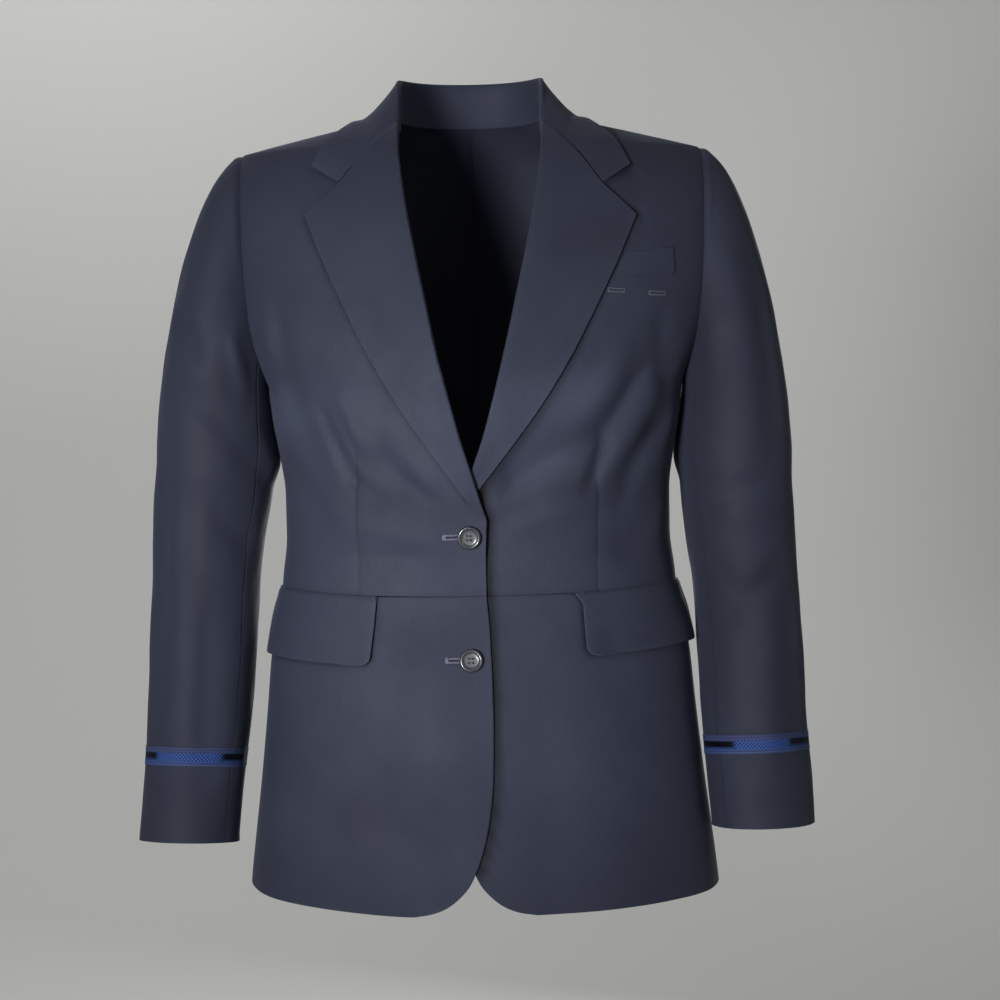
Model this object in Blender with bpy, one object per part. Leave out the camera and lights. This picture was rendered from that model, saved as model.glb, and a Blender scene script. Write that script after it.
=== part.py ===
# Pilot uniform jacket: the cut pieces of cloth as thin closed walls, with two buttons
# Metres, +Z up. The front faces -Y, the wearer's left is +X.
# The origin lies between the shoulders, level with the neck end of the shoulder seams.
import math

import bmesh
import bpy
from mathutils import Vector

# Cloth
WALL = 0.0018
SEAM_GAP = 0.0003
LIE_GAP = 0.0008
TRIM_WALL = 0.0012
ROUNDNESS = 2.3

# Shoulders and armholes
NECK_X = 0.064
SHOULDER_X = 0.202
SHOULDER_Z = -0.031
SHOULDER_BEND = 1.15
UNDERARM_Z = -0.236
ARMHOLE_FRONT = 0.054
ARMHOLE_BACK = 0.064
ARMHOLE_OVAL = 2.2
ARM_STEPS = 14
FRONT_COLUMNS = 11
FRONT_LOWER_ROWS = 10
BACK_LOWER_ROWS = 14

# Closing: the wearer's right front laps over the left one
LAP_LIFT = 0.0026
LAP_LIFT_UNDER_LAPEL = 0.0058
LAPEL_GAP = 0.0038

# Hem heights: centre of each rounded front, and how far it rises towards the side
HEM_Z = -0.687
HEM_RISE_RIGHT = 0.017
HEM_RISE_LEFT = 0.009
HEM_BACK_Z = -0.672
WAIST_Z = -0.4188
WAIST_RISE = 0.008
WAIST_HALF_WIDTH = 0.1755
HEM_HALF_WIDTH = 0.207
HEM_CORNER_X = 0.052
HEM_RISE_WIDTH = 0.158
HEM_RISE_BEND = 1.3

# Torso sections: height, front depth, back depth, half width
TORSO = (
    (0.000, 0.036, 0.058, 0.0640),
    (-0.014, 0.050, 0.073, 0.1300),
    (-0.031, 0.068, 0.087, 0.2020),
    (-0.060, 0.087, 0.101, 0.2040),
    (-0.100, 0.104, 0.111, 0.2050),
    (-0.140, 0.116, 0.116, 0.2030),
    (-0.170, 0.123, 0.117, 0.1985),
    (-0.200, 0.128, 0.115, 0.1925),
    (-0.220, 0.130, 0.112, 0.1870),
    (-0.236, 0.131, 0.110, 0.1830),
    (-0.263, 0.130, 0.105, 0.1803),
    (-0.298, 0.126, 0.098, 0.1757),
    (-0.330, 0.120, 0.092, 0.1732),
    (-0.368, 0.114, 0.088, 0.1728),
    (-0.400, 0.110, 0.087, 0.1735),
    (-0.419, 0.109, 0.088, 0.1755),
    (-0.445, 0.111, 0.094, 0.1815),
    (-0.476, 0.115, 0.102, 0.1860),
    (-0.517, 0.120, 0.110, 0.1898),
    (-0.575, 0.124, 0.117, 0.1958),
    (-0.625, 0.127, 0.121, 0.2018),
    (-0.660, 0.129, 0.124, 0.2060),
    (-0.700, 0.131, 0.126, 0.2100),
)

# Front border, measured outwards from the closing line: roll line, straight edge, rounded corner
FRONT_BORDER = (
    (0.000, 0.0640),
    (-0.012, 0.0615),
    (-0.032, 0.0612),
    (-0.053, 0.0590),
    (-0.092, 0.0530),
    (-0.128, 0.0460),
    (-0.159, 0.0395),
    (-0.198, 0.0312),
    (-0.219, 0.0266),
    (-0.286, 0.0100),
    (-0.315, 0.0005),
    (-0.340, -0.0085),
    (-0.358, -0.0150),
    (-0.400, -0.0155),
    (-0.450, -0.0165),
    (-0.520, -0.0178),
    (-0.573, -0.0167),
    (-0.600, -0.0140),
    (-0.630, -0.0080),
    (-0.650, -0.0010),
    (-0.662, 0.0050),
    (-0.672, 0.0140),
    (-0.680, 0.0250),
    (-0.6845, 0.0370),
    (-0.687, 0.0520),
)

# Closing line: height, sideways place
CLOSING = (
    (0.000, 0.0000),
    (-0.100, -0.0010),
    (-0.200, -0.0025),
    (-0.290, -0.0045),
    (-0.350, -0.0066),
    (-0.420, -0.0070),
    (-0.700, -0.0070),
)

# Lapel outer edge: height, place sideways from the closing line
LAPEL_EDGE = (
    (-0.094, 0.1415),
    (-0.142, 0.1215),
    (-0.177, 0.1050),
    (-0.218, 0.0840),
    (-0.260, 0.0585),
    (-0.287, 0.0390),
    (-0.315, 0.0190),
    (-0.333, 0.0055),
    (-0.349, -0.0085),
)
LAPEL_FOOT_Z = -0.340
LAPEL_ROWS = 15
LAPEL_LIFT = 0.0050
LAPEL_TURN = 0.0022
LAPEL_WIDE = 0.022

# Gorge seam and notch: how far along, sideways, height
GORGE = (
    (0.00, 0.0618, -0.0140),
    (0.25, 0.0800, -0.0285),
    (0.48, 0.0965, -0.0450),
    (0.72, 0.1130, -0.0670),
    (1.00, 0.1425, -0.0940),
)
COLLAR_END = (
    (0.00, 0.0622, -0.0130),
    (0.25, 0.0807, -0.0273),
    (0.48, 0.0973, -0.0438),
    (0.72, 0.1125, -0.0650),
    (1.00, 0.1365, -0.0505),
)
# Shares of the width at which collar and lapel have their lengthwise lines
LEAF_SHARES = (0.17, 0.30, 0.44, 0.58, 0.72, 0.86, 1.0)

# Collar stations from the centre back to the gorge:
# how far along, neck x, y, z, fold x, y, z, edge x, y, z
COLLAR = (
    (0.00, 0.0000, 0.0570, 0.0010, 0.0000, 0.0560, 0.0365, 0.0000, 0.0840, -0.0130),
    (0.15, 0.0240, 0.0535, 0.0010, 0.0240, 0.0525, 0.0365, 0.0330, 0.0800, -0.0130),
    (0.30, 0.0440, 0.0420, 0.0010, 0.0435, 0.0415, 0.0363, 0.0640, 0.0670, -0.0120),
    (0.44, 0.0575, 0.0240, 0.0010, 0.0565, 0.0240, 0.0358, 0.0880, 0.0440, -0.0080),
    (0.56, 0.0618, 0.0080, 0.0010, 0.0612, 0.0080, 0.0343, 0.1020, 0.0180, -0.0040),
    (0.68, 0.0620, -0.0080, 0.0008, 0.0618, -0.0080, 0.0295, 0.1120, -0.0100, -0.0040),
    (0.80, 0.0620, -0.0230, -0.0040, 0.0618, -0.0220, 0.0185, 0.1210, -0.0340, -0.0150),
    (0.90, 0.0618, -0.0350, -0.0090, 0.0618, -0.0350, 0.0040, 0.1290, -0.0500, -0.0320),
    (1.00, 0.0615, -0.0440, -0.0150, 0.0618, -0.0455, -0.0128, 0.1365, -0.0620, -0.0505),
)

COLLAR_STEPS = 13
COLLAR_ROLL = 0.0035
COLLAR_TURN = 0.0014

# Sleeve sections below the cap: height, centre x, half width, centre y, half depth
SLEEVE_RIGHT = (
    (-0.300, 0.2320, 0.0530, 0.0030, 0.0680),
    (-0.330, 0.2370, 0.0505, 0.0030, 0.0660),
    (-0.370, 0.2415, 0.0480, 0.0020, 0.0640),
    (-0.420, 0.2430, 0.0470, -0.0010, 0.0610),
    (-0.470, 0.2455, 0.0465, -0.0070, 0.0570),
    (-0.520, 0.2485, 0.0455, -0.0150, 0.0520),
    (-0.560, 0.2520, 0.0440, -0.0220, 0.0480),
    (-0.600, 0.2560, 0.0440, -0.0290, 0.0450),
    (-0.627, 0.2585, 0.0437, -0.0345, 0.0440),
)
SLEEVE_LEFT = (
    (-0.300, 0.2285, 0.0510, 0.0030, 0.0680),
    (-0.330, 0.2285, 0.0505, 0.0030, 0.0660),
    (-0.370, 0.2310, 0.0490, 0.0020, 0.0640),
    (-0.420, 0.2345, 0.0475, -0.0010, 0.0610),
    (-0.470, 0.2380, 0.0460, -0.0080, 0.0570),
    (-0.520, 0.2395, 0.0460, -0.0180, 0.0520),
    (-0.560, 0.2415, 0.0457, -0.0270, 0.0480),
    (-0.600, 0.2440, 0.0455, -0.0350, 0.0450),
    (-0.625, 0.2448, 0.0451, -0.0395, 0.0440),
)
CAP_ROWS = 9
CAP_OUT = 0.95
CAP_START = 0.55
CAP_END = 0.71
FRONT_SLEEVE_SEAM = 3
HIND_SLEEVE_SEAM = 6
SLEEVE_ROWS = 9
CUFF_FRONT_DROP = 0.003
ARM_RADIUS = 0.056

# Braid above each cuff
BRAID_ABOVE_HEM = 0.0655
BRAID_HEIGHT = 0.0165

# Pocket flaps and breast welt
FLAP_COLUMNS = 11
FLAP_ROWS = 7
FLAP_SIDE_FLARE = 0.0018
FLAP_CORNER_FLARE = 0.0012
FLAP_INNER_X = 0.0860
FLAP_SLANT = 0.0070
FLAP_DROP = 0.0545
FLAP_CORNER = 0.0130
FLAP_SIDE_ANGLE = math.radians(86)
WELT_COLUMNS = 6
WELT_ROWS = 4
WELT_TOP = ((0.1300, -0.1285), (0.1735, -0.1245))
WELT_BOTTOM = ((0.1190, -0.1530), (0.1745, -0.1490))

# Buttons
BUTTON_HEIGHTS = (-0.3677, -0.4717)
BUTTON_PROFILE = (
    (0.0000, 0.0020),
    (0.0058, 0.0020),
    (0.0068, 0.0026),
    (0.0082, 0.0035),
    (0.0093, 0.0033),
    (0.0100, 0.0024),
    (0.0098, 0.0012),
    (0.0080, 0.0002),
    (0.0000, 0.0000),
)
BUTTON_SEGMENTS = 24
BUTTON_STAND = 0.0004
HOLE_RADIUS = 0.0010
HOLE_SPREAD = 0.0021
HOLE_DEPTH = 0.012

# Soft folds on the fronts: side, start x, start z, end x, end z, half width, depth (minus is a trough)
FRONT_FOLDS = (
    (-1, 0.030, -0.345, 0.120, -0.285, 0.012, -0.0022),
    (-1, 0.035, -0.360, 0.135, -0.330, 0.011, 0.0018),
    (-1, 0.160, -0.235, 0.110, -0.310, 0.014, -0.0024),
    (1, 0.020, -0.345, 0.110, -0.270, 0.012, -0.0024),
    (1, 0.035, -0.365, 0.140, -0.325, 0.011, 0.0018),
    (1, 0.150, -0.235, 0.085, -0.320, 0.014, -0.0030),
    (1, 0.168, -0.270, 0.120, -0.345, 0.012, 0.0020),
)

# Soft folds on the sleeves: side, start angle, start z, end angle, end z, half width, depth
SLEEVE_FOLDS = (
    (-1, -20, -0.180, -75, -0.220, 0.016, -0.0030),
    (-1, -110, -0.300, -160, -0.330, 0.014, -0.0035),
    (-1, -60, -0.340, -140, -0.385, 0.015, 0.0028),
    (-1, -35, -0.300, -45, -0.520, 0.017, -0.0025),
    (1, -40, -0.150, -55, -0.330, 0.018, -0.0035),
    (1, -60, -0.330, -140, -0.370, 0.015, -0.0030),
    (1, -70, -0.300, -80, -0.520, 0.016, 0.0024),
    (-1, 60, -0.300, 150, -0.360, 0.016, -0.0030),
    (1, 60, -0.310, 150, -0.350, 0.016, -0.0030),
)

# Colours, roughness, metallic
CLOTH_COLOUR = (0.032, 0.037, 0.058, 1.0)
BRAID_COLOUR = (0.050, 0.080, 0.260, 1.0)
BUTTON_COLOUR = (0.035, 0.038, 0.050, 1.0)


def clear_scene():
    for thing in list(bpy.data.objects):
        bpy.data.objects.remove(thing, do_unlink=True)


def make_material(name, colour, roughness, metallic=0.0):
    material = bpy.data.materials.new(name)
    material.use_nodes = True
    shader = material.node_tree.nodes["Principled BSDF"]
    shader.inputs["Base Color"].default_value = colour
    shader.inputs["Roughness"].default_value = roughness
    shader.inputs["Metallic"].default_value = metallic
    return material


def cloth_material(name):
    return make_material(name, CLOTH_COLOUR, 0.85)


def lerp(a, b, t):
    return a + (b - a) * t


def smooth(t):
    t = min(1.0, max(0.0, t))
    return t * t * (3.0 - 2.0 * t)


def table_slope(table, i, column):
    last = len(table) - 1
    if i == 0 or i == last:
        return None
    before = (table[i][column] - table[i - 1][column]) / (table[i][0] - table[i - 1][0])
    after = (table[i + 1][column] - table[i][column]) / (table[i + 1][0] - table[i][0])
    if before * after <= 0.0:
        return 0.0
    return 2.0 * before * after / (before + after)


def look_up(table, column, key):
    # A smooth curve through the table's rows without overshoot, its first column as the key
    rising = table[-1][0] > table[0][0]
    if (key <= table[0][0]) == rising:
        return table[0][column]
    if (key >= table[-1][0]) == rising:
        return table[-1][column]
    i = 0
    while i < len(table) - 2 and (key > table[i + 1][0]) == rising:
        i += 1
    step = table[i + 1][0] - table[i][0]
    t = (key - table[i][0]) / step
    chord = (table[i + 1][column] - table[i][column]) / step
    start = table_slope(table, i, column)
    end = table_slope(table, i + 1, column)
    start = chord if start is None else start
    end = chord if end is None else end
    value = table[i][column] * (2 * t ** 3 - 3 * t ** 2 + 1)
    value += start * step * (t ** 3 - 2 * t ** 2 + t)
    value += table[i + 1][column] * (3 * t ** 2 - 2 * t ** 3)
    value += end * step * (t ** 3 - t ** 2)
    return value


def shoulder_z(x):
    along = min(1.0, max(0.0, (x - NECK_X) / (SHOULDER_X - NECK_X)))
    return SHOULDER_Z * along ** SHOULDER_BEND


def shoulder_x(z):
    along = min(1.0, max(0.0, z / SHOULDER_Z))
    return NECK_X + (SHOULDER_X - NECK_X) * along ** (1.0 / SHOULDER_BEND)


def armhole_y(z, front):
    # Half depth of the armhole oval at this height
    middle = 0.5 * (SHOULDER_Z + UNDERARM_Z)
    half = 0.5 * (SHOULDER_Z - UNDERARM_Z)
    t = min(1.0, abs(z - middle) / half)
    depth = ARMHOLE_FRONT if front else ARMHOLE_BACK
    return depth * (1.0 - t ** ARMHOLE_OVAL) ** (1.0 / ARMHOLE_OVAL)


def torso_depth(z, front):
    return look_up(TORSO, 1 if front else 2, z)


def end_x(z):
    if z > SHOULDER_Z:
        return shoulder_x(z)
    return look_up(TORSO, 3, z)


def full_width(z, front):
    # Half width of the whole oval whose arc ends at the armhole or the side seam
    if z >= SHOULDER_Z or z <= UNDERARM_Z:
        return end_x(z)
    ratio = armhole_y(z, front) / torso_depth(z, front)
    return end_x(z) / (1.0 - ratio ** ROUNDNESS) ** (1.0 / ROUNDNESS)


def torso_y(x, z, front):
    ratio = min(1.0, abs(x) / full_width(z, front))
    depth = torso_depth(z, front) * (1.0 - ratio ** ROUNDNESS) ** (1.0 / ROUNDNESS)
    return -depth if front else depth


def oval_value(x, y, z):
    front = y < 0.0
    across = abs(x) / full_width(z, front)
    along = abs(y) / torso_depth(z, front)
    return (across ** ROUNDNESS + along ** ROUNDNESS) ** (1.0 / ROUNDNESS)


def torso_normal(point):
    step = 0.0008
    x, y, z = point
    across = oval_value(x + step, y, z) - oval_value(x - step, y, z)
    along = oval_value(x, y + step, z) - oval_value(x, y - step, z)
    if abs(y) < step:
        along = 0.0
    up = oval_value(x, y, z + step) - oval_value(x, y, z - step)
    return Vector((across, along, up)).normalized()


def closing_x(z):
    return look_up(CLOSING, 1, z)


def fold_amount(x, z, start, end, half_width):
    # 1 on the fold's line, falling softly to 0 at its sides and ends
    line = (end[0] - start[0], end[1] - start[1])
    length = math.hypot(line[0], line[1])
    away = (x - start[0], z - start[1])
    along = (away[0] * line[0] + away[1] * line[1]) / length ** 2
    if along <= -0.1 or along >= 1.1:
        return 0.0
    aside = abs(away[0] * line[1] - away[1] * line[0]) / length
    taper = smooth((along + 0.1) / 0.3) * smooth((1.1 - along) / 0.4)
    return taper * math.exp(-(aside / half_width) ** 2)


def front_drape(side, x, z):
    total = 0.0
    for row in FRONT_FOLDS:
        if row[0] == side:
            total += row[6] * fold_amount(x, z, (row[1], row[2]), (row[3], row[4]), row[5])
    return total


def lap_lift(side, x, z):
    # The overlapping front stands off by the cloth under it
    if side > 0:
        return 0.0
    across = 1.0 - smooth((x - 0.030) / 0.050)
    under_lapel = smooth((z + 0.400) / 0.030) * (1.0 - smooth((z + 0.275) / 0.040))
    return across * lerp(LAP_LIFT, LAP_LIFT_UNDER_LAPEL, under_lapel)


def front_point(side, x, z, out=0.0):
    # A point on or above one front; x runs outwards from the middle on its own side
    base = Vector((x, torso_y(x, z, True), z))
    normal = torso_normal(base)
    off = out + lap_lift(side, x, z) + front_drape(side, x, z)
    place = base + normal * off
    return Vector((side * place.x, place.y, place.z)), Vector((side * normal.x, normal.y, normal.z))


def border_x(side, z):
    return side * closing_x(z) + look_up(FRONT_BORDER, 1, z)


def add_object(name, mesh, material):
    thing = bpy.data.objects.new(name, mesh)
    bpy.context.scene.collection.objects.link(thing)
    mesh.materials.append(material)
    return thing


def wall_object(name, outer, inner, material, ring=False):
    # A closed thin wall between two grids of points; a ring's columns close on themselves
    rows = len(outer)
    columns = len(outer[0])
    shape = bmesh.new()
    top = [[shape.verts.new(p) for p in row] for row in outer]
    bottom = [[shape.verts.new(p) for p in row] for row in inner]
    spans = columns if ring else columns - 1

    def patch(a, b, c, d):
        shape.faces.new((a, b, c))
        shape.faces.new((a, c, d))

    for r in range(rows - 1):
        for c in range(spans):
            d = (c + 1) % columns
            patch(top[r][c], top[r][d], top[r + 1][d], top[r + 1][c])
            patch(bottom[r][c], bottom[r + 1][c], bottom[r + 1][d], bottom[r][d])
    for c in range(spans):
        d = (c + 1) % columns
        patch(top[0][d], top[0][c], bottom[0][c], bottom[0][d])
        patch(top[-1][c], top[-1][d], bottom[-1][d], bottom[-1][c])
    if not ring:
        for r in range(rows - 1):
            patch(top[r][0], top[r + 1][0], bottom[r + 1][0], bottom[r][0])
            patch(top[r + 1][-1], top[r][-1], bottom[r][-1], bottom[r + 1][-1])
    bmesh.ops.recalc_face_normals(shape, faces=shape.faces[:])
    mesh = bpy.data.meshes.new(name)
    shape.to_mesh(mesh)
    shape.free()
    mesh.shade_smooth()
    mesh.set_sharp_from_angle(angle=math.radians(50))
    return add_object(name, mesh, material)


def thicken(points, normals, thickness):
    return [[p - n * thickness for p, n in zip(row, side)] for row, side in zip(points, normals)]


def grid_normals(points, ring=False):
    rows = len(points)
    columns = len(points[0])
    result = []
    for r in range(rows):
        line = []
        for c in range(columns):
            down = points[min(r + 1, rows - 1)][c] - points[max(r - 1, 0)][c]
            if ring:
                across = points[r][(c + 1) % columns] - points[r][c - 1]
            else:
                across = points[r][min(c + 1, columns - 1)] - points[r][max(c - 1, 0)]
            line.append(across.cross(down).normalized())
        result.append(line)
    return result


def armhole_point(step):
    # Step 0 is the shoulder tip, ARM_STEPS the underarm; negative steps run down the front
    angle = math.pi * abs(step) / ARM_STEPS
    middle = 0.5 * (SHOULDER_Z + UNDERARM_Z)
    half = 0.5 * (SHOULDER_Z - UNDERARM_Z)
    z = middle + half * math.cos(angle)
    front = step < 0
    y = armhole_y(z, front)
    return Vector((end_x(z), -y if front else y, z))


def cap_direction(step):
    # The way in which the sleeve leaves the armhole
    angle = math.pi * step / ARM_STEPS
    high = 0.5 * (1.0 + math.cos(angle))
    return Vector((0.15 + (CAP_OUT - 0.15) * high, 0.35 * math.sin(angle), 0.75 * high - 1.0)).normalized()


def armhole_frame(step):
    # Shared outward direction of body and sleeve at the armhole seam, and the way across the seam
    along = armhole_point(step + 0.3) - armhole_point(step - 0.3)
    if step >= ARM_STEPS - 0.3:
        along = Vector((0.0, -1.0, 0.0))
    along.normalize()
    away = cap_direction(step)
    sleeve = along.cross(away)
    sleeve.normalize()
    centre = Vector((0.14, 0.0, 0.5 * (SHOULDER_Z + UNDERARM_Z)))
    point = armhole_point(step)
    if sleeve.dot(point - centre) < 0.0:
        sleeve.negate()
    body = torso_normal(point)
    shared = (sleeve + body * 0.8).normalized()
    shared = (shared - along * shared.dot(along)).normalized()
    across = along.cross(shared)
    if across.dot(away) < 0.0:
        across.negate()
    return shared, across


def mirrored(vector, side):
    return Vector((side * vector.x, vector.y, vector.z))


def waist_z(x):
    return WAIST_Z + WAIST_RISE * (x / 0.176) ** 2


def column_share(s, z, inner, outer, front, roundness):
    # Straight shares near the shoulder, even steps round the oval below
    width = full_width(z, front)
    first = math.asin(min(1.0, abs(inner) / width) ** (ROUNDNESS / 2.0))
    first = first if inner >= 0.0 else -first
    last = math.asin(min(1.0, outer / width) ** (ROUNDNESS / 2.0))
    angle = lerp(first, last, s)
    sine = math.sin(angle)
    x = width * math.copysign(abs(sine) ** (2.0 / ROUNDNESS), sine)
    even = (x - inner) / (outer - inner) if outer > inner else s
    return lerp(s, even, roundness)


def row_fractions(bottom_z, lower_rows):
    # Rows follow the armhole's own steps, then run on evenly to the bottom
    total = SHOULDER_Z - bottom_z
    rows = [(SHOULDER_Z - armhole_point(i).z) / total for i in range(ARM_STEPS + 1)]
    start = rows[-1]
    for i in range(1, lower_rows + 1):
        rows.append(lerp(start, 1.0, i / lower_rows))
    return rows


def front_panel(side, name):
    # Upper front: from the shoulder seam to the waist seam, from the roll line to the side seam
    columns = FRONT_COLUMNS
    fractions = row_fractions(waist_z(WAIST_HALF_WIDTH), FRONT_LOWER_ROWS)
    outer = []
    inner = []
    for r, fraction in enumerate(fractions):
        line = []
        back = []
        for c in range(columns):
            s = c / (columns - 1)
            start_x = border_x(side, 0.0) + LAPEL_GAP
            top_x = lerp(start_x, SHOULDER_X, s)
            top_z = shoulder_z(top_x)
            guess = border_x(side, waist_z(0.0))
            bottom = waist_z(lerp(guess, WAIST_HALF_WIDTH, s))
            z = lerp(top_z, bottom, fraction)
            fold_back = 1.0 - smooth((LAPEL_FOOT_Z - 0.002 - z) / 0.012)
            first = border_x(side, z) + LAPEL_GAP * fold_back
            last = end_x(z) if z < SHOULDER_Z else SHOULDER_X
            roundness = smooth(fraction / fractions[ARM_STEPS])
            x = lerp(first, last, column_share(s, z, first, last, True, roundness))
            if r == 0:
                x = top_x
                base = Vector((x, 0.0, z))
                normal = torso_normal(base)
                point = Vector((side * x, -0.5 * SEAM_GAP, z))
                normal = mirrored(normal, side)
            else:
                point, normal = front_point(side, x, z)
            if c == columns - 1:
                if r <= ARM_STEPS:
                    edge = armhole_point(-r)
                    shared, across = armhole_frame(-r)
                    point = mirrored(edge, side)
                    normal = mirrored(shared, side)
                point.y = min(point.y, -0.5 * SEAM_GAP)
            line.append(point)
            back.append(point - normal * WALL)
        outer.append(line)
        inner.append(back)
    return wall_object(name, outer, inner, cloth_material(name))


def hem_z(side, x):
    rise = HEM_RISE_LEFT if side > 0 else HEM_RISE_RIGHT
    along = max(0.0, (abs(x) - HEM_CORNER_X) / HEM_RISE_WIDTH)
    return HEM_Z + rise * along ** HEM_RISE_BEND


# Rows of the lower front, closer together towards the rounded corner
SKIRT_ROWS = (0.0, 0.08, 0.18, 0.29, 0.40, 0.51, 0.61, 0.69, 0.76, 0.83,
              0.885, 0.925, 0.955, 0.978, 0.991, 1.0)


def skirt_place(side, s, fraction):
    # Column share and row share to the place on the oval, x outwards and height
    edge_start = border_x(side, waist_z(0.0))
    top = waist_z(lerp(edge_start, WAIST_HALF_WIDTH, s)) - SEAM_GAP
    bottom = hem_z(side, lerp(HEM_CORNER_X, HEM_HALF_WIDTH, s))
    z = lerp(top, bottom, fraction)
    first = border_x(side, z)
    last = end_x(z)
    return lerp(first, last, column_share(s, z, first, last, True, 1.0)), z


def skirt_panel(side, name):
    # Lower front: from the waist seam to the hem, from the front edge to the side seam
    columns = FRONT_COLUMNS
    outer = []
    inner = []
    for fraction in SKIRT_ROWS:
        line = []
        back = []
        for c in range(columns):
            x, z = skirt_place(side, c / (columns - 1), fraction)
            point, normal = front_point(side, x, z)
            if c == columns - 1:
                point.y = -0.5 * SEAM_GAP
            line.append(point)
            back.append(point - normal * WALL)
        outer.append(line)
        inner.append(back)
    return wall_object(name, outer, inner, cloth_material(name))


# Columns of a back, from the centre seam to the side; one falls on the neck end of the shoulder seam
BACK_SHARES = (0.0, 0.10, 0.19, 0.26, 0.3168, 0.42, 0.56, 0.70, 0.84, 1.0)


def back_panel(side, name):
    # From the neck and shoulder seam to the hem, from the centre seam to the side seam
    fractions = row_fractions(HEM_BACK_Z, BACK_LOWER_ROWS)
    outer = []
    inner = []
    last_column = len(BACK_SHARES) - 1
    for r, fraction in enumerate(fractions):
        line = []
        back = []
        for c, share in enumerate(BACK_SHARES):
            top_x = share * SHOULDER_X
            top_z = shoulder_z(top_x)
            bottom = lerp(HEM_BACK_Z, hem_z(side, HEM_HALF_WIDTH), smooth((share - 0.55) / 0.45))
            z = lerp(top_z, bottom, fraction)
            last = end_x(z) if z < SHOULDER_Z else SHOULDER_X
            roundness = smooth(fraction / fractions[ARM_STEPS])
            x = last * column_share(share, z, 0.0, last, False, roundness)
            if r == 0:
                x = top_x
            base = Vector((x, torso_y(x, z, False), z))
            if r == 0 and x >= NECK_X - 0.0001:
                base.y = 0.5 * SEAM_GAP
            normal = torso_normal(base)
            if c == last_column and r <= ARM_STEPS:
                base = armhole_point(r)
                normal, across = armhole_frame(r)
            if c == last_column:
                base.y = max(base.y, 0.5 * SEAM_GAP)
            if c == 0:
                base.x = 0.5 * SEAM_GAP
                normal.x = 0.0
                normal.normalize()
            point = mirrored(base, side)
            line.append(point)
            back.append(point - mirrored(normal, side) * WALL)
        outer.append(line)
        inner.append(back)
    return wall_object(name, outer, inner, cloth_material(name))


def sleeve_table(side):
    return SLEEVE_LEFT if side > 0 else SLEEVE_RIGHT


def sleeve_radii(side, z):
    table = sleeve_table(side)
    return [look_up(table, column, z) for column in range(1, 5)]


def sleeve_ring_point(side, step, z):
    centre_x, half_width, centre_y, half_depth = sleeve_radii(side, z)
    angle = math.pi * step / ARM_STEPS
    return Vector((centre_x + half_width * math.cos(angle), centre_y + half_depth * math.sin(angle), z))


def sleeve_drape(side, step, z):
    degrees = 180.0 * step / ARM_STEPS
    if degrees > 180.0:
        degrees -= 360.0
    total = 0.0
    for row in SLEEVE_FOLDS:
        if row[0] == side:
            start = (math.radians(row[1]) * ARM_RADIUS, row[2])
            end = (math.radians(row[3]) * ARM_RADIUS, row[4])
            total += row[6] * fold_amount(math.radians(degrees) * ARM_RADIUS, z, start, end, row[5])
    return total


def sleeve_grid(side):
    # Rows from the armhole to the cuff, columns round the arm; steps run from the top over the back
    table = sleeve_table(side)
    bicep_z = table[0][0]
    cuff_z = table[-1][0]
    steps = list(range(-ARM_STEPS, ARM_STEPS))
    rows = []
    for r in range(CAP_ROWS + 1):
        t = r / CAP_ROWS
        t = lerp(t, t * t, 0.35)
        line = []
        for step in steps:
            shared, across = armhole_frame(step)
            start = armhole_point(step) + across * SEAM_GAP
            end = sleeve_ring_point(side, step, bicep_z)
            reach = (end - start).length
            leave = cap_direction(step) * reach * CAP_START
            arrive = Vector((0.0, 0.0, -reach * CAP_END))
            point = start * (2 * t ** 3 - 3 * t ** 2 + 1)
            point += leave * (t ** 3 - 2 * t ** 2 + t)
            point += end * (3 * t ** 2 - 2 * t ** 3)
            point += arrive * (t ** 3 - t ** 2)
            line.append(point)
        rows.append(line)
    for r in range(1, SLEEVE_ROWS + 1):
        line = []
        for step in steps:
            angle = math.pi * step / ARM_STEPS
            end_z = cuff_z - CUFF_FRONT_DROP * max(0.0, -math.sin(angle))
            line.append(sleeve_ring_point(side, step, lerp(bicep_z, end_z, r / SLEEVE_ROWS)))
        rows.append(line)
    normals = grid_normals(rows, ring=True)
    if normals[-1][ARM_STEPS].dot(rows[-1][ARM_STEPS] - Vector((0.2, 0.0, cuff_z))) < 0.0:
        normals = [[-n for n in line] for line in normals]
    for c, step in enumerate(steps):
        normals[0][c] = armhole_frame(step)[0]
    for r in range(1, len(rows)):
        for c, step in enumerate(steps):
            keep = smooth((r - 1) / 3.0)
            rows[r][c] = rows[r][c] + normals[r][c] * sleeve_drape(side, step, rows[r][c].z) * keep
    return rows, normals


def sleeve_piece(side, name, rows, normals, columns):
    outer = []
    inner = []
    for points, sides in zip(rows, normals):
        line = []
        back = []
        count = len(columns)
        for i, c in enumerate(columns):
            point = points[c % len(points)].copy()
            normal = sides[c % len(points)]
            if i == 0 or i == count - 1:
                other = columns[1] if i == 0 else columns[count - 2]
                toward = points[other % len(points)] - point
                toward -= normal * toward.dot(normal)
                point += toward.normalized() * 0.8 * SEAM_GAP
            line.append(mirrored(point, side))
            back.append(mirrored(point - normal * WALL, side))
        outer.append(line)
        inner.append(back)
    return wall_object(name, outer, inner, cloth_material(name))


def sleeve_pair(side, upper_name, under_name):
    # Column 0 is the underarm; the under sleeve spans it from the front seam to the hind seam
    rows, normals = sleeve_grid(side)
    total = 2 * ARM_STEPS
    front_seam = FRONT_SLEEVE_SEAM
    hind_seam = total - HIND_SLEEVE_SEAM
    upper = list(range(front_seam, hind_seam + 1))
    under = list(range(hind_seam, total + front_seam + 1))
    sleeve_piece(side, upper_name, rows, normals, upper)
    sleeve_piece(side, under_name, rows, normals, under)


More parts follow.
